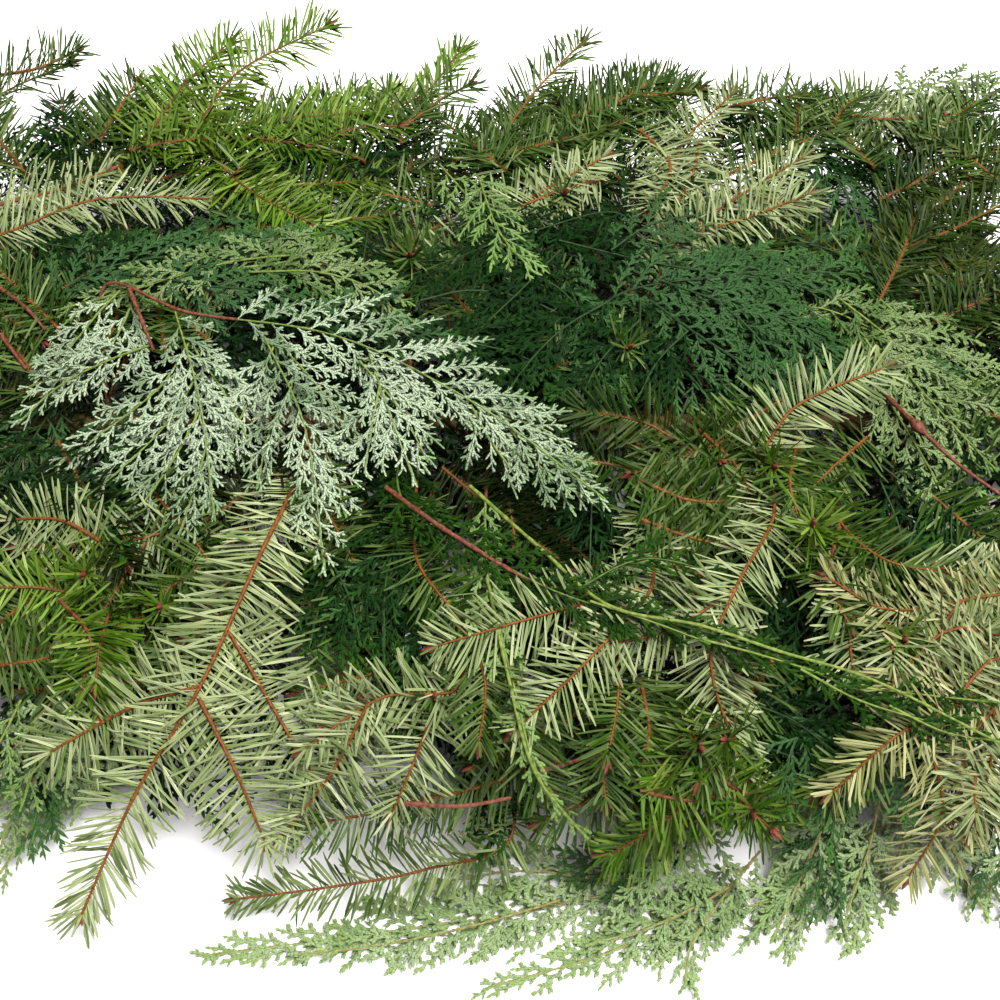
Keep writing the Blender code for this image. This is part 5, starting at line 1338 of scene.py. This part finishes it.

# %% [markdown]
# ## The inner layer
#
# Near the rope, dark foliage closes every gap, so that no surface shows through the garland.
# These shoots run from the rope in all directions under the outer layers. Their finishes are
# darker copies of the fir and cedar finishes: painted shade for the shade deep in the garland.

# %% Inner layer
INNER_SEED = 500
INNER_SHOOTS = 32
HALF_LENGTH = 250.0
INNER = {
    "cedar_dark": {"reach": 26.0, "cord_pitch": 3.2, "pitch": 4.2, "width": 2.0},
    "fir_dark": {"pitch": 1.1, "width": 1.7, "length": 18.0, "round": True},
}
# Shoots deep in the garland take darker copies of their finishes: painted shade.
PAINTED_SHADE_LOOKS = {"cedar_dark": "cedar_painted_shade", "fir_dark": "fir_painted_shade", "fir_green": "fir_painted_shade"}


def inner_top(y):
    """How high the inner layer reaches at a distance across the garland."""
    return 14 + 66 * np.sqrt(np.clip(1 - ((y - ROPE_Y) / 195) ** 2, 0, 1))


def inner_routes(rng):
    for x in np.linspace(-HALF_LENGTH, HALF_LENGTH, INNER_SHOOTS):
        end = np.array([x + rng.uniform(-45, 45), rng.uniform(-165, 165), 0.0])
        end[2] = inner_top(end[1]) * rng.uniform(0.55, 1.0)
        root = np.array([x * 0.97, ROPE_Y, ROPE_Z * rng.uniform(0.6, 1.0)])
        middle = (root + end) / 2 + np.array([rng.uniform(-12, 12), 0, rng.uniform(0, 8)])
        yield [root, middle, end]


for number, (kind, changes) in enumerate(INNER.items()):
    seed, changes = INNER_SEED + number, {**changes, **PLAIN}
    look = PAINTED_SHADE_LOOKS[kind]
    layer = grow_layer("inner_" + kind, seed, kind, inner_routes, changes, look, buds=False)
print("triangles so far:", sum(TRIANGLES.values()))

# %% [markdown]
# ## The middle layers
#
# Between the inner layer and the sprays on top lie ten layers of ordinary shoots, each at its
# own share of the garland's height and over its own stretch of the width. A shoot starts on one
# side of the rope and points away from it, so that the gaps between the top sprays show shaded
# foliage. The deep layers take the darker finishes, painted shade for the shade deep in the
# garland, and stop short of the ends, where nothing would lie on top of them.

# %% Middle layers
MIDDLE_SEED = 600
SURFACE_Y = (-235, -200, -160, -100, -50, 0, 50, 100, 150, 200, 225)
SURFACE_Z = (6, 24, 52, 86, 98, 104, 102, 96, 88, 80, 60)
DEEP_BELOW = 0.84
DEEP_END = 246.0
SHOOT_TURN, SHOOT_LENGTH, SHOOT_JITTER = (25, 155), (50, 75), 4
FRONT_Y, BACK_Y = -195, 200
WIDE = {"width": 2.5, "reach": 36.0, "cord_pitch": 3.4, "pitch": 5.4, "facing": 0.5}
MIDDLE = (
    ("cedar_dark", 0.86, 40, (-120, 125), {}),
    ("fir_green", 0.86, 34, (-120, 125), {}),
    ("fir_dark", 0.82, 26, (-120, 125), {}),
    ("cedar_dark", 0.66, 34, (-120, 125), {"cord_pitch": 2.8, "width": 1.7}),
    ("fir_dark", 0.66, 28, (-120, 125), {"pitch": 1.0}),
    ("fir_green", 1.0, 26, (125, 160), {"facing": 0.5}),
    ("cedar_dark", 1.0, 24, (115, 165), {"facing": 0.5}),
    ("fir_dark", 0.9, 20, (125, 160), {"facing": 0.5}),
    ("cedar_dark", 0.36, 52, (-115, 125), WIDE),
    ("cedar_dark", 0.5, 34, (-110, 60), WIDE),
)


def middle_routes(rng, share, many, across):
    for n in range(many):
        x = -HALF_LENGTH + 2 * HALF_LENGTH * (n + rng.uniform(0, 1)) / many
        y = rng.uniform(*across)
        heading = np.radians(rng.uniform(*SHOOT_TURN)) * (1 if y > ROPE_Y else -1)
        steps = rng.uniform(*SHOOT_LENGTH) * np.array([0, 0.5, 1.0])
        ys = np.clip(y + steps * np.sin(heading), FRONT_Y, BACK_Y)
        heights = np.interp(ys, SURFACE_Y, SURFACE_Z) * share
        heights = heights + rng.uniform(-SHOOT_JITTER, SHOOT_JITTER, 3)
        yield np.stack([x + steps * np.cos(heading), ys, heights], axis=-1)


for number, (kind, share, many, across, changes) in enumerate(MIDDLE):
    # Layers below this share of the height take the darker finishes of painted shade.
    deep = share < DEEP_BELOW
    layer = grow_layer(
        f"middle_{number}_{kind}", MIDDLE_SEED + number, kind,
        lambda rng: middle_routes(rng, share, many, across), {"facing": 0.3, **changes, **PLAIN},
        PAINTED_SHADE_LOOKS[kind] if deep else None, end=DEEP_END if deep else NO_END,
    )
print("triangles so far:", sum(TRIANGLES.values()))

# %% [markdown]
# ## The back and the ends
#
# Along the back edge and round both ends shoots bend down to the surface, as they do in front,
# so that the garland looks full from every side.

# %% Back and ends
SKIRT_SEED = 800
SKIRT = {"fir_green": 26, "cedar_blue": 22, "cedar_dark": 20, "fir_pale": 10}
SKIRT_STEPS = np.array([0.0, 40.0, 78.0])
SKIRT_LEAST, SKIRT_MOST = (-318, -190), (318, 192)
SKIRT_BACK_Y = 85.0


def skirt_routes(rng, many):
    for n in range(many):
        turn = math.pi * (n + rng.uniform(0, 1)) / many
        turn = turn if n % 5 else math.pi + turn
        flat = np.array([np.cos(turn), max(np.sin(turn), -0.35)])
        if abs(flat[0]) > 0.8:
            base = np.array([rng.uniform(150, 235) * np.sign(flat[0]), ROPE_Y])
        else:
            base = np.array([rng.uniform(-235, 235), SKIRT_BACK_Y])
            flat = np.array([rng.uniform(-0.5, 0.5), 1.0])
        flat = flat / np.linalg.norm(flat)
        high = rng.uniform(45, 82)
        steps = SKIRT_STEPS * rng.uniform(0.85, 1.1)
        plan = np.clip(base + flat * steps[:, None], SKIRT_LEAST, SKIRT_MOST)
        heights = np.array([high, high * 0.72, high * rng.uniform(0.12, 0.35)])
        yield np.column_stack([plan, heights])


for number, (kind, many) in enumerate(SKIRT.items()):
    seed = SKIRT_SEED + number
    layer = grow_layer("skirt_" + kind, seed, kind, lambda rng: skirt_routes(rng, many), PLAIN)
print("triangles so far:", sum(TRIANGLES.values()))

# %% [markdown]
# ## The rope and the wire
#
# The garland is bound to a jute rope of three strands twisted together. Each strand is a curve
# with a round section that winds round the rope's middle. The green wire keeps its CAD shape
# and takes a glossy enamel.

# %% Rope and wire
STRANDS = 3
STRAND_RADIUS = 1.9
STRAND_OUT = 2.1
TWIST_LENGTH = 22.0

rope_finish = Desk("jute", 0.85, 0.15)
fibre = rope_finish.noise(900, 4.0, (0.12, 1, 1))
rope_finish.bump(fibre, 0.8, 0.0004)
jute = rope_finish.done(rope_finish.mix(fibre, paint(110, 82, 48), paint(196, 160, 108)))

rope = Foliage()
x = np.arange(-ROPE_HALF, ROPE_HALF + 0.1, 2.0)
for strand in range(STRANDS):
    angle = 2 * math.pi * (x / TWIST_LENGTH + strand / STRANDS)
    y, z = ROPE_Y + STRAND_OUT * np.cos(angle), ROPE_Z + STRAND_OUT * np.sin(angle)
    rope.twig(np.stack([x, y, z], axis=-1), np.full(len(x), STRAND_RADIUS), 0, strand / STRANDS)
rope_piece = rope.piece("jute_rope", [jute], fine=2)
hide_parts("core_rope")

enamel_finish = Desk("enamel", 0.25, 0.5)
worn = enamel_finish.within(enamel_finish.noise(500, 3.0), 0.55, 0.75)
enamel = enamel_finish.done(enamel_finish.mix(worn, paint(24, 66, 42), paint(60, 104, 72)))
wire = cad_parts["binding_wire"]
for slot in wire.material_slots:
    slot.material = enamel
print("rope strands:", STRANDS)

# %% [markdown]
# ## Finish
#
# The dressed garland's size is printed in triangles, with its largest piece.

# %% Finish
bpy.context.view_layer.update()
largest = max(TRIANGLES, key=TRIANGLES.get)
print("triangles:", sum(TRIANGLES.values()), "largest piece:", largest, TRIANGLES[largest])
